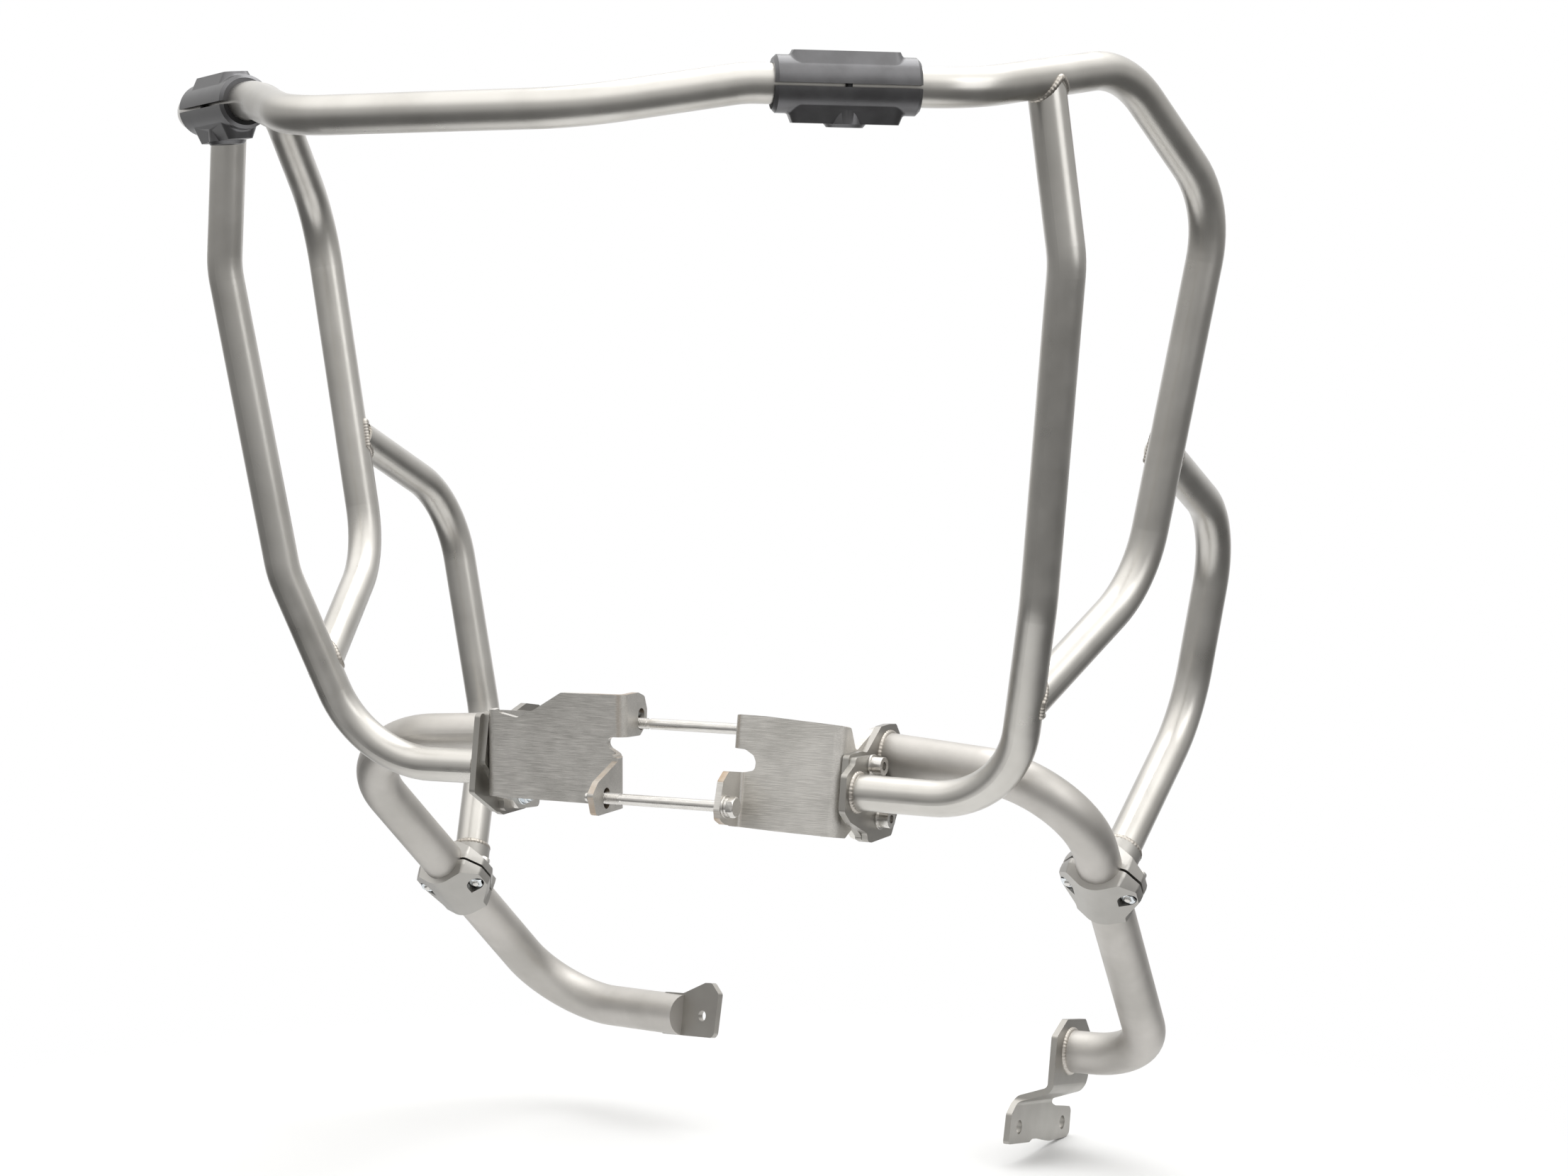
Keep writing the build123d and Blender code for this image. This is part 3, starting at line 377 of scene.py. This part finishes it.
@dataclass
class CarriedNodes:
    """The CAD nodes, each with the finish of its slot and, on plates and castings, softened edges."""

    edge_angle: float = math.radians(28)
    seam_reach: float = 0.001 * MM
    flat_weight: int = 80
    edges: tuple[tuple[str, float], ...] = (
        ("clamp_cap", 0.9 * MM), ("clamp_saddle", 0.9 * MM), ("shell", 0.4 * MM), ("spring", 0.2 * MM),
        ("washer", 0.25 * MM), ("flange_screws", 0.5 * MM), ("coupling_screws", 0.4 * MM),
        ("flange", 0.5 * MM), ("foot", 0.5 * MM), ("bracket", 0.5 * MM),
    )

    @staticmethod
    def slot_of(name: str) -> Slot:
        """The slot whose finish a node takes.

        Args:
            name: The node's name.

        Returns:
            The slot.
        """
        rules = (
            ("liner", Slot.LINER), ("shell", Slot.COUPLING), ("coupling_screws", Slot.STAINLESS),
            # The coupling pins are stainless but take the liner's black: painted shade for the dark hole
            # they sit in.
            ("coupling_pins", Slot.LINER),
            ("clamp_nuts", Slot.ZINC), ("engine_bolt_nuts", Slot.ZINC), ("flange_nuts", Slot.ZINC),
            ("bolt", Slot.STAINLESS), ("screw", Slot.STAINLESS), ("washer", Slot.STAINLESS),
            ("clamp", Slot.CLAMP), ("engine_bracket", Slot.SHEET), ("flange", Slot.PLATE),
            ("foot", Slot.PLATE),
        )
        for word, slot in rules:
            if word in name:
                return slot
        return Slot.TUBE

    def dress(self, finishes: Finishes) -> None:
        """Paint each node and soften the edges of the thick pieces."""
        for name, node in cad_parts.items():
            finishes.paint(node, MATT_TUBE if "lower_tube" in name else self.slot_of(name).value)
            for word, width in self.edges:
                if word in name and "nut" not in name:
                    self.soften(node, width)
                    break
        LOG.info("finished %d carried nodes", len(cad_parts))

    def soften(self, node: bpy.types.Object, width: float) -> None:
        """Round the sharp edges of a node a little with live modifiers.

        Args:
            node: The node.
            width: How far the rounding reaches from each edge.
        """
        weld = node.modifiers.new("closed_seams", "WELD")
        weld.merge_threshold = self.seam_reach
        bevel = node.modifiers.new("soft_edges", "BEVEL")
        bevel.width = width
        bevel.segments = 2
        bevel.limit_method = "ANGLE"
        bevel.angle_limit = self.edge_angle
        bevel.harden_normals = False
        shade = node.modifiers.new("flat_faces", "WEIGHTED_NORMAL")
        shade.mode = "FACE_AREA"
        shade.weight = self.flat_weight
        shade.keep_sharp = False


def finish_piece(piece: bpy.types.Object, name: str) -> bpy.types.Object:
    """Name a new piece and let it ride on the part."""
    piece.name = name
    piece.data.name = name
    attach(piece, "root")
    return piece


def select_only(piece: bpy.types.Object) -> None:
    """Make one object the only one selected, and the active one."""
    bpy.ops.object.select_all(action="DESELECT")
    piece.select_set(True)
    bpy.context.view_layer.objects.active = piece


def pick_faces(piece: bpy.types.Object, wanted: Callable[[bpy.types.MeshPolygon], bool]) -> None:
    """Enter edit mode with the faces that pass a test selected.

    Args:
        piece: The object, in object mode.
        wanted: The test of a face.
    """
    select_only(piece)
    for part in (piece.data.vertices, piece.data.edges, piece.data.polygons):
        part.foreach_set("select", [False] * len(part))
    for face in piece.data.polygons:
        face.select = wanted(face)
    bpy.ops.object.mode_set(mode="EDIT")
    bpy.ops.mesh.select_mode(type="FACE")


def drum(radius: float, low: float, high: float, sides: int = 48) -> bpy.types.Object:
    """A cylinder on the Z axis between two heights."""
    bpy.ops.object.select_all(action="DESELECT")
    bpy.ops.mesh.primitive_cylinder_add(
        vertices=sides, radius=radius, depth=high - low, location=(0, 0, (low + high) / 2))
    piece = bpy.context.active_object
    bpy.ops.object.transform_apply(location=True, rotation=True, scale=True)
    return piece


def combine(piece: bpy.types.Object, other: bpy.types.Object, operation: str) -> None:
    """Apply a Boolean between two pieces and remove the second."""
    select_only(piece)
    cut = piece.modifiers.new("shape", "BOOLEAN")
    cut.operation = operation
    cut.solver = "EXACT"
    cut.object = other
    bpy.ops.object.modifier_apply(modifier=cut.name)
    bpy.data.objects.remove(other)


def round_rims(piece: bpy.types.Object, width: float, segments: int = 2) -> None:
    """Bevel the sharp edges of a piece."""
    select_only(piece)
    bevel = piece.modifiers.new("rims", "BEVEL")
    bevel.width = width
    bevel.segments = segments
    bevel.limit_method = "ANGLE"
    bevel.angle_limit = math.radians(40)
    bpy.ops.object.modifier_apply(modifier=bevel.name)


def join_pieces(pieces: list[bpy.types.Object]) -> bpy.types.Object:
    """Join several objects into the first."""
    bpy.ops.object.select_all(action="DESELECT")
    for piece in pieces:
        piece.select_set(True)
    bpy.context.view_layer.objects.active = pieces[0]
    bpy.ops.object.join()
    return pieces[0]


def set_in_place(piece: bpy.types.Object, seat: Vector, up: Vector) -> None:
    """Turn a piece's Z axis to a direction, move its origin to a seat, and apply both."""
    select_only(piece)
    piece.matrix_world = Matrix.Translation(seat) @ up.to_track_quat("Z", "Y").to_matrix().to_4x4()
    bpy.ops.object.transform_apply(location=True, rotation=True, scale=True)


@dataclass
class Thread:
    """A screw thread: one triangular ridge wound along the Z axis.

    The depth and half width of the ridge are shares of the pitch. Its foot is sunk into the core.
    """

    radius: float
    pitch: float
    low: float
    high: float
    steps: int = 32
    depth_share: float = 0.61
    width_share: float = 0.46
    sunk: float = 0.05 * MM

    @property
    def core(self) -> float:
        """Radius at the root of the thread."""
        return self.radius - self.depth_share * self.pitch

    def build(self) -> bpy.types.Object:
        """Wind the ridge with a Screw modifier and close its ends."""
        bpy.ops.object.select_all(action="DESELECT")
        bpy.ops.mesh.primitive_circle_add(vertices=3, radius=self.pitch / 2, fill_type="NOTHING")
        ridge = bpy.context.active_object
        foot = self.core - self.sunk
        corners = ((foot, -self.width_share), (self.radius, 0.0), (foot, self.width_share))
        for vertex, (reach, share) in zip(ridge.data.vertices, corners):
            vertex.co = (reach, 0.0, self.low + share * self.pitch + self.pitch / 2)
        wind = ridge.modifiers.new("wind", "SCREW")
        wind.axis = "Z"
        wind.screw_offset = self.pitch
        wind.iterations = max(1, int((self.high - self.low) / self.pitch) - 1)
        wind.steps = self.steps
        wind.render_steps = self.steps
        wind.use_normal_calculate = True
        bpy.ops.object.modifier_apply(modifier=wind.name)
        pick_faces(ridge, lambda face: True)
        bpy.ops.mesh.select_mode(type="EDGE")
        bpy.ops.mesh.select_all(action="SELECT")
        bpy.ops.mesh.fill_holes(sides=4)
        bpy.ops.mesh.normals_make_consistent(inside=False)
        bpy.ops.object.mode_set(mode="OBJECT")
        return ridge


@dataclass
class HexBolt:
    """A hexagon bolt with its head above its seat and its shank below, on the Z axis."""

    diameter: float = 8.0 * MM
    length: float = 115.0 * MM
    across: float = 13.0 * MM
    head: float = 5.3 * MM
    pitch: float = 1.25 * MM
    threaded: float = 30.0 * MM
    chamfer: float = 1.1 * MM

    def shank(self) -> list[bpy.types.Object]:
        """The plain shank, the core of the thread with a chamfered tip, and the thread."""
        tip = -self.length
        runout = tip + self.threaded
        thread = Thread(self.diameter / 2, self.pitch, tip + self.pitch, runout)
        plain = drum(self.diameter / 2, runout, 0.2 * MM)
        core = drum(thread.core, tip, runout + self.pitch)
        round_rims(core, 0.5 * MM, 1)
        round_rims(plain, 0.3 * MM, 1)
        return [plain, core, thread.build()]

    def top(self) -> bpy.types.Object:
        """The hexagon, with its corners turned off at the top."""
        head = drum(self.across / math.sqrt(3), 0.0, self.head, 6)
        turned = drum(self.across / math.sqrt(3), -self.head, self.head, 64)
        pick_faces(turned, lambda face: face.normal.z > 0.9)
        bpy.ops.mesh.bevel(offset=self.chamfer, segments=1)
        bpy.ops.object.mode_set(mode="OBJECT")
        combine(head, turned, "INTERSECT")
        round_rims(head, 0.15 * MM)
        return head

    def build(self) -> bpy.types.Object:
        """Make the bolt."""
        return join_pieces([self.top(), *self.shank()])


@dataclass
class SocketBolt(HexBolt):
    """A bolt with a round head and a hexagon socket."""

    diameter: float = 6.0 * MM
    length: float = 18.6 * MM
    across: float = 10.0 * MM
    head: float = 6.0 * MM
    pitch: float = 1.0 * MM
    threaded: float = 12.0 * MM
    key: float = 5.0 * MM
    key_depth: float = 3.0 * MM

    def top(self) -> bpy.types.Object:
        """The round head with its socket."""
        head = drum(self.across / 2, 0.0, self.head)
        round_rims(head, 0.5 * MM)
        socket = drum(self.key / math.sqrt(3), self.head - self.key_depth, self.head + 1 * MM, 6)
        combine(head, socket, "DIFFERENCE")
        return head


@dataclass
class HexNut:
    """A nut that stands on its seat on the Z axis: a turned hexagon, a flange and a locking collar."""

    bore: float = 7.6 * MM
    across: float = 13.0 * MM
    height: float = 8.0 * MM
    flange: float = 17.6 * MM
    flange_height: float = 1.8 * MM
    collar: float = 2.2 * MM
    chamfer: float = 0.9 * MM

    def build(self) -> bpy.types.Object:
        """Make the nut."""
        top = self.height - self.collar
        body = drum(self.across / math.sqrt(3), 0.0, top, 6)
        turned = drum(self.across / math.sqrt(3), 0.0, top, 64)
        pick_faces(turned, lambda face: abs(face.normal.z) > 0.9)
        bpy.ops.mesh.bevel(offset=self.chamfer, segments=1)
        bpy.ops.object.mode_set(mode="OBJECT")
        combine(body, turned, "INTERSECT")
        rings = [body]
        if self.flange:
            rim = drum(self.flange / 2, 0.0, self.flange_height)
            round_rims(rim, 0.6 * MM, 3)
            rings.append(rim)
        if self.collar:
            cap = drum(self.across / 2 - 0.7 * MM, top - 0.5 * MM, self.height)
            round_rims(cap, 1.2 * MM, 4)
            rings.append(cap)
        for ring in rings:
            combine(ring, drum(self.bore / 2, -1 * MM, self.height + 1 * MM), "DIFFERENCE")
        return join_pieces(rings)


@dataclass
class Fasteners:
    """Turned bolts and nuts in place of the plain ones."""

    engine_axes: tuple = ((0.0, 0.0, 63.76), (41.5, 55.5, 58.66))
    left_ear_x: float = -39.4
    flange_axes: tuple = ((51.0, 36.0), (69.0, 0.0))
    flange_seats: tuple = ((131.72, -1.0), (-145.12, 1.0))
    clamp_span: float = 45.8
    clamp_drop: float = -3.0
    clamp_bolt_seat: float = -7.0
    clamp_nut_seat: float = 5.2

    def place_all(self, name: str, maker: HexBolt | HexNut, places: list[tuple[Vector, Vector]],
                  slot: Slot, node: str, finishes: Finishes) -> None:
        """Model a fastener once and set a copy at each place.

        Args:
            name: Name of the joined piece.
            maker: Builds the fastener.
            places: Seat and upward direction of each copy.
            slot: Its slot.
            node: The node that it stands for.
            finishes: The materials.
        """
        pattern = maker.build()
        copies = []
        for seat, up in places:
            copy = pattern.copy()
            copy.data = pattern.data.copy()
            bpy.context.scene.collection.objects.link(copy)
            set_in_place(copy, seat, up)
            copies.append(copy)
        bpy.data.objects.remove(pattern)
        piece = join_pieces(copies)
        bpy.ops.object.shade_smooth_by_angle(angle=math.radians(35))
        finishes.paint(piece, slot.value)
        finish_piece(piece, name)
        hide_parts(node)
        LOG.info("turned %s", name)

    def clamp_places(self, clamps: list["ClampAxes"], depth: float,
                     way: float) -> list[tuple[Vector, Vector]]:
        """Seats on both lugs of each clamp at one depth through it."""
        places = []
        for clamp in clamps:
            for share in (-0.5, 0.5):
                seat = clamp.at(share * self.clamp_span, depth, self.clamp_drop)
                places.append((seat, clamp.front * way))
        return places

    def build(self, finishes: Finishes) -> None:
        """Make every bolt and nut."""
        inboard = Vector((-1, 0, 0))
        engine_heads = [(point(x, y, z), -inboard) for y, z, x in self.engine_axes]
        engine_seats = [(point(self.left_ear_x, y, z), inboard) for y, z, _ in self.engine_axes]
        flange_seats = [
            (point(x, y, z), Vector((way, 0, 0)))
            for x, way in self.flange_seats for y, z in self.flange_axes]
        clamps = [ClampAxes.of_side(side) for side in Side]
        clamp_heads = self.clamp_places(clamps, self.clamp_bolt_seat, -1)
        clamp_seats = self.clamp_places(clamps, self.clamp_nut_seat, 1)
        clamp_nut = HexNut(bore=5.7 * MM, across=10.0 * MM, height=5.0 * MM, flange=0.0, flange_height=0.0,
                           collar=0.0, chamfer=0.7 * MM)
        bright, zinc = Slot.STAINLESS, Slot.ZINC
        self.place_all("turned_engine_bolts", HexBolt(), engine_heads, bright, "engine_bolts", finishes)
        self.place_all("locking_engine_nuts", HexNut(), engine_seats, zinc, "engine_bolt_nuts", finishes)
        self.place_all("locking_flange_nuts", HexNut(), flange_seats, zinc, "flange_nuts", finishes)
        self.place_all("turned_clamp_bolts", SocketBolt(), clamp_heads, bright, "clamp_bolts", finishes)
        self.place_all("turned_clamp_nuts", clamp_nut, clamp_seats, zinc, "clamp_nuts", finishes)


@dataclass
class ClampAxes:
    """Directions of one stay clamp: towards a lug, to the front cap and down the tube."""

    middle: Vector
    lug: Vector
    front: Vector
    along: Vector

    @classmethod
    def of_side(cls, side: Side) -> "ClampAxes":
        """The clamp of one side, from the straight of its lower tube."""
        elbow = side.point(300.6, 49.5, 32.4)
        heel = side.point(258.4, 343.2, -165.1)
        station, turn = {Side.RIGHT: (118.0, -7.7), Side.LEFT: (184.4, 5.4)}[side]
        along = (heel - elbow).normalized()
        level = (Vector((1, 0, 0)) - along * along.x).normalized()
        rise = along.cross(level)
        if rise.z < 0:
            rise = -rise
        lug = level * math.cos(math.radians(turn)) + rise * math.sin(math.radians(turn))
        return cls(elbow + along * station * MM, lug, along.cross(lug), along)

    def at(self, x: float, y: float, z: float) -> Vector:
        """A point given in millimetres along the clamp's own directions."""
        return self.middle + (self.lug * x + self.front * y + self.along * z) * MM


@dataclass
class WeldBead:
    """A rippled bead round the foot of a tube, where it meets another piece."""

    name: str
    start: Vector
    aim: Vector
    radius: float
    target: str
    size: float = 2.7 * MM
    sunk: float = 0.55 * MM
    ripple: float = 2.4 * MM
    ripple_share: float = 0.10
    step: float = 0.5 * MM
    rays: int = 180
    inset: float = 0.985

    def foot(self) -> list[Vector]:
        """Points where the tube's outside meets the target, found by rays along the tube.

        Returns:
            The points, in order round the tube.
        """
        graph = bpy.context.evaluated_depsgraph_get()
        tree = BVHTree.FromObject(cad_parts[self.target], graph)
        aim = self.aim.normalized()
        side = aim.orthogonal().normalized()
        other = aim.cross(side)
        found = []
        for i in range(self.rays):
            turn = 2 * math.pi * i / self.rays
            spoke = side * math.cos(turn) + other * math.sin(turn)
            hit, _, _, _ = tree.ray_cast(self.start + spoke * self.radius * self.inset, aim)
            if hit is not None:
                found.append(hit + spoke * (self.radius * (1 - self.inset) - self.sunk) + aim * self.sunk)
        return found

    def evenly(self, points: list[Vector]) -> list[Vector]:
        """Spread a closed line of points at an even step.

        Args:
            points: Corners of the closed line.

        Returns:
            Points along it, one step apart.
        """
        spread = []
        carry = 0.0
        for i, here in enumerate(points):
            there = points[(i + 1) % len(points)]
            length = (there - here).length
            while carry < length:
                spread.append(here.lerp(there, carry / length))
                carry += self.step
            carry -= length
        return spread

    def build(self, finishes: Finishes) -> bpy.types.Object:
        """Lay the bead as a ring of ripples.

        Args:
            finishes: The materials.

        Returns:
            The bead's object.
        """
        line = self.evenly(self.foot())
        dimes = max(8, round(len(line) * self.step / self.ripple))
        curve = bpy.data.curves.new(self.name, "CURVE")
        curve.dimensions = "3D"
        curve.bevel_depth = self.size
        curve.bevel_resolution = 3
        spline = curve.splines.new("POLY")
        spline.points.add(len(line) - 1)
        spline.use_cyclic_u = True
        for i, place in enumerate(line):
            wave = abs(math.sin(math.pi * dimes * i / len(line)))
            spline.points[i].co = (*place, 1.0)
            spline.points[i].radius = 1.0 - self.ripple_share + self.ripple_share * wave
        piece = bpy.data.objects.new(self.name, curve)
        bpy.context.scene.collection.objects.link(piece)
        bpy.ops.object.select_all(action="DESELECT")
        piece.select_set(True)
        bpy.context.view_layer.objects.active = piece
        bpy.ops.object.convert(target="MESH")
        bpy.ops.object.shade_smooth()
        finishes.paint(piece, WELD)
        return finish_piece(piece, self.name)


@dataclass
class Welds:
    """Every weld bead, at the joints of the tubes, plates and clamps."""

    tube_r: float = 12.7 * MM
    foot_tube_r: float = 16.0 * MM
    back_off: float = 45.0 * MM
    plate_back_off: float = 12.0 * MM
    upright_top: tuple = (317.3, -126.8, 476.4)
    upright_bend: tuple = (329.8, -99.9, 362.9)
    upright_elbow: tuple = (261.4, 31.8, 15.2)
    upright_end: dict = field(default_factory=lambda: {
        Side.RIGHT: (146.0, 32.0, 16.6), Side.LEFT: (-159.4, 32.0, 16.6)})
    outer_knee: tuple = (316.8, 98.3, 174.6)
    outer_foot: tuple = (281.9, -2.2, 82.1)
    stay_top: tuple = (330.1, 89.2, 265.0)
    stay_shoulder: tuple = (327.9, 224.3, 230.6)
    stay_knee: dict = field(default_factory=lambda: {
        Side.RIGHT: (301.2, 250.4, 90.7), Side.LEFT: (-297.5, 257.6, 52.5)})
    stay_end: dict = field(default_factory=lambda: {
        Side.RIGHT: (291.9, 164.2, -9.1), Side.LEFT: (-279.1, 219.9, -45.3)})
    lower_start: dict = field(default_factory=lambda: {
        Side.RIGHT: (141.24, 88.2, 44.8), Side.LEFT: (-154.64, 84.9, 43.8)})
    lower_elbow: tuple = (300.6, 49.5, 32.4)
    lower_heel: tuple = (258.4, 343.2, -165.1)
    foot_face_x: float = 192.3
    ring: float = 2.9 * MM
    foot_ring: float = 3.1 * MM

    def bead(self, name: str, far: Vector, near: Vector, back: float, radius: float, target: str,
             size: float = 2.7 * MM) -> WeldBead:
        """A bead round a tube that runs from far to near and is welded there.

        Args:
            name: Name of the bead.
            far: A point on the tube's axis, away from the joint.
            near: The point of the axis at the joint.
            back: How far before the joint the rays start.
            radius: The tube's outside radius.
            target: The node that the tube is welded to.
            size: The bead's thickness.

        Returns:
            The bead, not yet laid.
        """
        aim = (near - far).normalized()
        return WeldBead(name, near - aim * back, aim, radius, target, size)

    def of_side(self, side: Side) -> list[WeldBead]:
        """The beads of one side."""
        w = side.word
        elbow = side.point(*self.upright_elbow)
        end = point(*self.upright_end[side])
        start = point(*self.lower_start[side])
        return [
            self.bead(f"{w}_upright_top_weld", side.point(*self.upright_bend),
                      side.point(*self.upright_top), self.back_off, self.tube_r, f"{w}_outer_tube"),
            self.bead(f"{w}_outer_foot_weld", side.point(*self.outer_knee),
                      side.point(*self.outer_foot), self.back_off, self.tube_r, f"{w}_upright_tube"),
            self.bead(f"{w}_stay_top_weld", side.point(*self.stay_shoulder),
                      side.point(*self.stay_top), self.back_off, self.tube_r, f"{w}_outer_tube"),
            self.bead(f"{w}_stay_foot_weld", point(*self.stay_knee[side]),
                      point(*self.stay_end[side]), self.plate_back_off, self.tube_r,
                      f"{w}_clamp_saddle", self.ring),
            self.bead(f"{w}_upright_flange_weld", elbow, end, self.plate_back_off, self.tube_r,
                      f"{w}_upright_flange", self.ring),
            self.bead(f"{w}_lower_flange_weld", side.point(*self.lower_elbow), start,
                      self.plate_back_off, self.foot_tube_r, f"{w}_lower_flange", self.ring),
        ]

    def build(self, finishes: Finishes) -> None:
        """Lay every bead."""
        beads = self.of_side(Side.RIGHT) + self.of_side(Side.LEFT)
        heel = point(*self.lower_heel)
        face = Vector((self.foot_face_x * MM, heel.y, heel.z))
        beads.append(self.bead("right_foot_weld", heel, face, self.plate_back_off, self.foot_tube_r,
                               "right_foot_bracket", self.foot_ring))
        for bead in beads:
            bead.build(finishes)
            LOG.info("laid %s", bead.name)


@dataclass(frozen=True)
class Glow:
    """One soft patch of light from the surroundings, brightest along an axis."""

    axis: Vector
    start: float
    end: float
    strength: float


@dataclass(frozen=True)
class Softbox:
    """One soft lamp: its middle, the point it faces, its size and how bright its face is."""

    name: str
    place: Vector
    aim: Vector
    width: float
    height: float
    radiance: float

    def hang(self) -> None:
        """Hang the lamp."""
        data = bpy.data.lights.new(self.name, "AREA")
        data.shape = "RECTANGLE"
        data.size = self.width
        data.size_y = self.height
        data.energy = self.radiance * math.pi * self.width * self.height
        lamp = bpy.data.objects.new(self.name, data)
        bpy.context.scene.collection.objects.link(lamp)
        lamp.location = self.place
        lamp.rotation_euler = (self.aim - self.place).to_track_quat("-Z", "Y").to_euler()
        lamp.visible_camera = False


LEVEL = Vector((0.0, -0.1616, 0.98686))
AHEAD = Vector((-0.4527, 0.8892, 0.0665))
RIGHT = Vector((0.8909, 0.4481, 0.0734))


@dataclass
class Studio:
    """Camera, soft light and pale floor, laid out on the photograph's own level."""

    eye: Vector = field(default_factory=lambda: Vector((1.18340, -2.14103, -0.00647)))
    up: Vector = field(default_factory=lambda: Vector((-0.0354, -0.0925, 0.9951)))
    lens: float = 79.83
    sensor: float = 36.0
    floor_height: float = -0.2999
    floor_size: float = 2.0
    fade_start: float = 0.38
    fade_end: float = 0.78
    paper_colour: tuple[float, float, float, float] = (0.78, 0.785, 0.79, 1.0)
    ambient: float = 0.15
    glows: tuple[Glow, ...] = (
        Glow(LEVEL, -0.40, 0.25, 0.40),
        Glow(LEVEL, 0.25, 0.80, 1.00),
        Glow(-AHEAD, 0.10, 0.95, 0.07),
    )
    softboxes: tuple[Softbox, ...] = (
        Softbox("overhead_softbox", Vector((0.1, 0.25, 1.75)), Vector((0.0, 0.0, 0.2)), 1.3, 1.1, 1.9),
        Softbox("right_softbox", Vector((1.3, -0.3, 0.75)), Vector((0.0, 0.0, 0.2)), 0.6, 1.0, 1.2),
    )
    backdrop: Glow = Glow(AHEAD, 0.62, 0.97, 1.0)

    def camera(self) -> None:
        """Set the camera where the photograph was taken from."""
        data = bpy.data.cameras.new("camera")
        data.lens = self.lens
        data.sensor_width = self.sensor
        data.clip_end = 100.0
        camera = bpy.data.objects.new("camera", data)
        bpy.context.scene.collection.objects.link(camera)
        turn = Matrix((RIGHT, self.up, -AHEAD)).transposed()
        camera.matrix_world = Matrix.Translation(self.eye) @ turn.to_4x4()
        bpy.context.scene.camera = camera

    @staticmethod
    def maths(tree: bpy.types.NodeTree, kind: str, first: bpy.types.NodeSocket,
              second: bpy.types.NodeSocket | float) -> bpy.types.NodeSocket:
        """Add a Math node to the world.

        Args:
            tree: The world's node tree.
            kind: The operation.
            first: The first input.
            second: The second input, or a fixed value.

        Returns:
            The node's output.
        """
        node = tree.nodes.new("ShaderNodeMath")
        node.operation = kind
        tree.links.new(first, node.inputs[0])
        if isinstance(second, float):
            node.inputs[1].default_value = second
        else:
            tree.links.new(second, node.inputs[1])
        return node.outputs[0]

    @staticmethod
    def patch(tree: bpy.types.NodeTree, way: bpy.types.NodeSocket, glow: Glow) -> bpy.types.NodeSocket:
        """Add the nodes of one glow to the world.

        Args:
            tree: The world's node tree.
            way: The direction of the light.
            glow: The glow.

        Returns:
            The glow's strength in each direction.
        """
        dot = tree.nodes.new("ShaderNodeVectorMath")
        dot.operation = "DOT_PRODUCT"
        dot.inputs[1].default_value = glow.axis
        tree.links.new(way, dot.inputs[0])
        span = tree.nodes.new("ShaderNodeMapRange")
        span.interpolation_type = "SMOOTHSTEP"
        span.inputs["From Min"].default_value = glow.start
        span.inputs["From Max"].default_value = glow.end
        span.inputs["To Max"].default_value = glow.strength
        tree.links.new(dot.outputs["Value"], span.inputs["Value"])
        return span.outputs["Result"]

    def world(self) -> None:
        """Soft light from all round, bright above and dim below, and a white backdrop.

        The camera sees white all round. Metal sees it where the backdrop stands, behind the part.
        """
        world = bpy.data.worlds.new("soft_tent")
        bpy.context.scene.world = world
        world.use_nodes = True
        tree = world.node_tree
        tree.nodes.clear()
        way = tree.nodes.new("ShaderNodeTexCoord").outputs["Generated"]
        strength: bpy.types.NodeSocket | float = self.ambient
        for glow in self.glows:
            strength = self.maths(tree, "ADD", self.patch(tree, way, glow), strength)
        rays = tree.nodes.new("ShaderNodeLightPath").outputs
        in_metal = self.maths(tree, "MULTIPLY", rays["Is Glossy Ray"], self.patch(tree, way, self.backdrop))
        seen = self.maths(tree, "MAXIMUM", rays["Is Camera Ray"], rays["Is Transmission Ray"])
        shown = self.maths(tree, "MAXIMUM", seen, in_metal)
        light = tree.nodes.new("ShaderNodeBackground")
        light.inputs["Color"].default_value = (1.0, 0.99, 0.97, 1.0)
        tree.links.new(strength, light.inputs["Strength"])
        white = tree.nodes.new("ShaderNodeBackground")
        white.inputs["Color"].default_value = (1.0, 1.0, 1.0, 1.0)
        mix = tree.nodes.new("ShaderNodeMixShader")
        tree.links.new(shown, mix.inputs[0])
        tree.links.new(light.outputs[0], mix.inputs[1])
        tree.links.new(white.outputs[0], mix.inputs[2])
        output = tree.nodes.new("ShaderNodeOutputWorld")
        tree.links.new(mix.outputs[0], output.inputs["Surface"])

    def floor(self) -> None:
        """A pale floor that keeps the shadow."""
        bpy.ops.object.select_all(action="DESELECT")
        turn = LEVEL.to_track_quat("Z", "Y")
        place = LEVEL * self.floor_height
        bpy.ops.mesh.primitive_plane_add(size=self.floor_size, location=place, rotation=turn.to_euler())
        floor = bpy.context.active_object
        floor.name = "floor"
        floor.data.materials.append(self.paper())

    def paper(self) -> bpy.types.Material:
        """White paper that fades into the backdrop at its edge."""
        g = Graph("white_paper")
        g.tree.nodes.remove(g.surface)
        cloth = g.add("ShaderNodeBsdfDiffuse", inputs={"Color": self.paper_colour})
        length = g.add("ShaderNodeVectorMath", {"operation": "LENGTH"})
        g.join(g.place, "Object", length, 0)
        beyond = g.span(length, "Value", 0.0, 1.0, self.fade_start, self.fade_end, True)
        clear = g.add("ShaderNodeBsdfTransparent")
        last = g.add("ShaderNodeMixShader")
        g.join(beyond, "Result", last, 0)
        g.join(cloth, 0, last, 1)
        g.join(clear, 0, last, 2)
        g.join(last, 0, g.output, "Surface")
        return g.material

    def build(self) -> None:
        """Set up the camera, the light and the floor."""
        self.camera()
        self.world()
        self.floor()
        for softbox in self.softboxes:
            softbox.hang()
        bpy.context.scene.view_settings.view_transform = "Standard"


def main() -> None:
    """Build the studio and dress the part, piece by piece."""
    logging.basicConfig(level=logging.INFO, format="%(name)s: %(message)s")
    finishes = Finishes()
    finishes.build()
    CarriedNodes().dress(finishes)
    Fasteners().build(finishes)
    Welds().build(finishes)
    Studio().build()


if __name__ == "__main__":
    main()
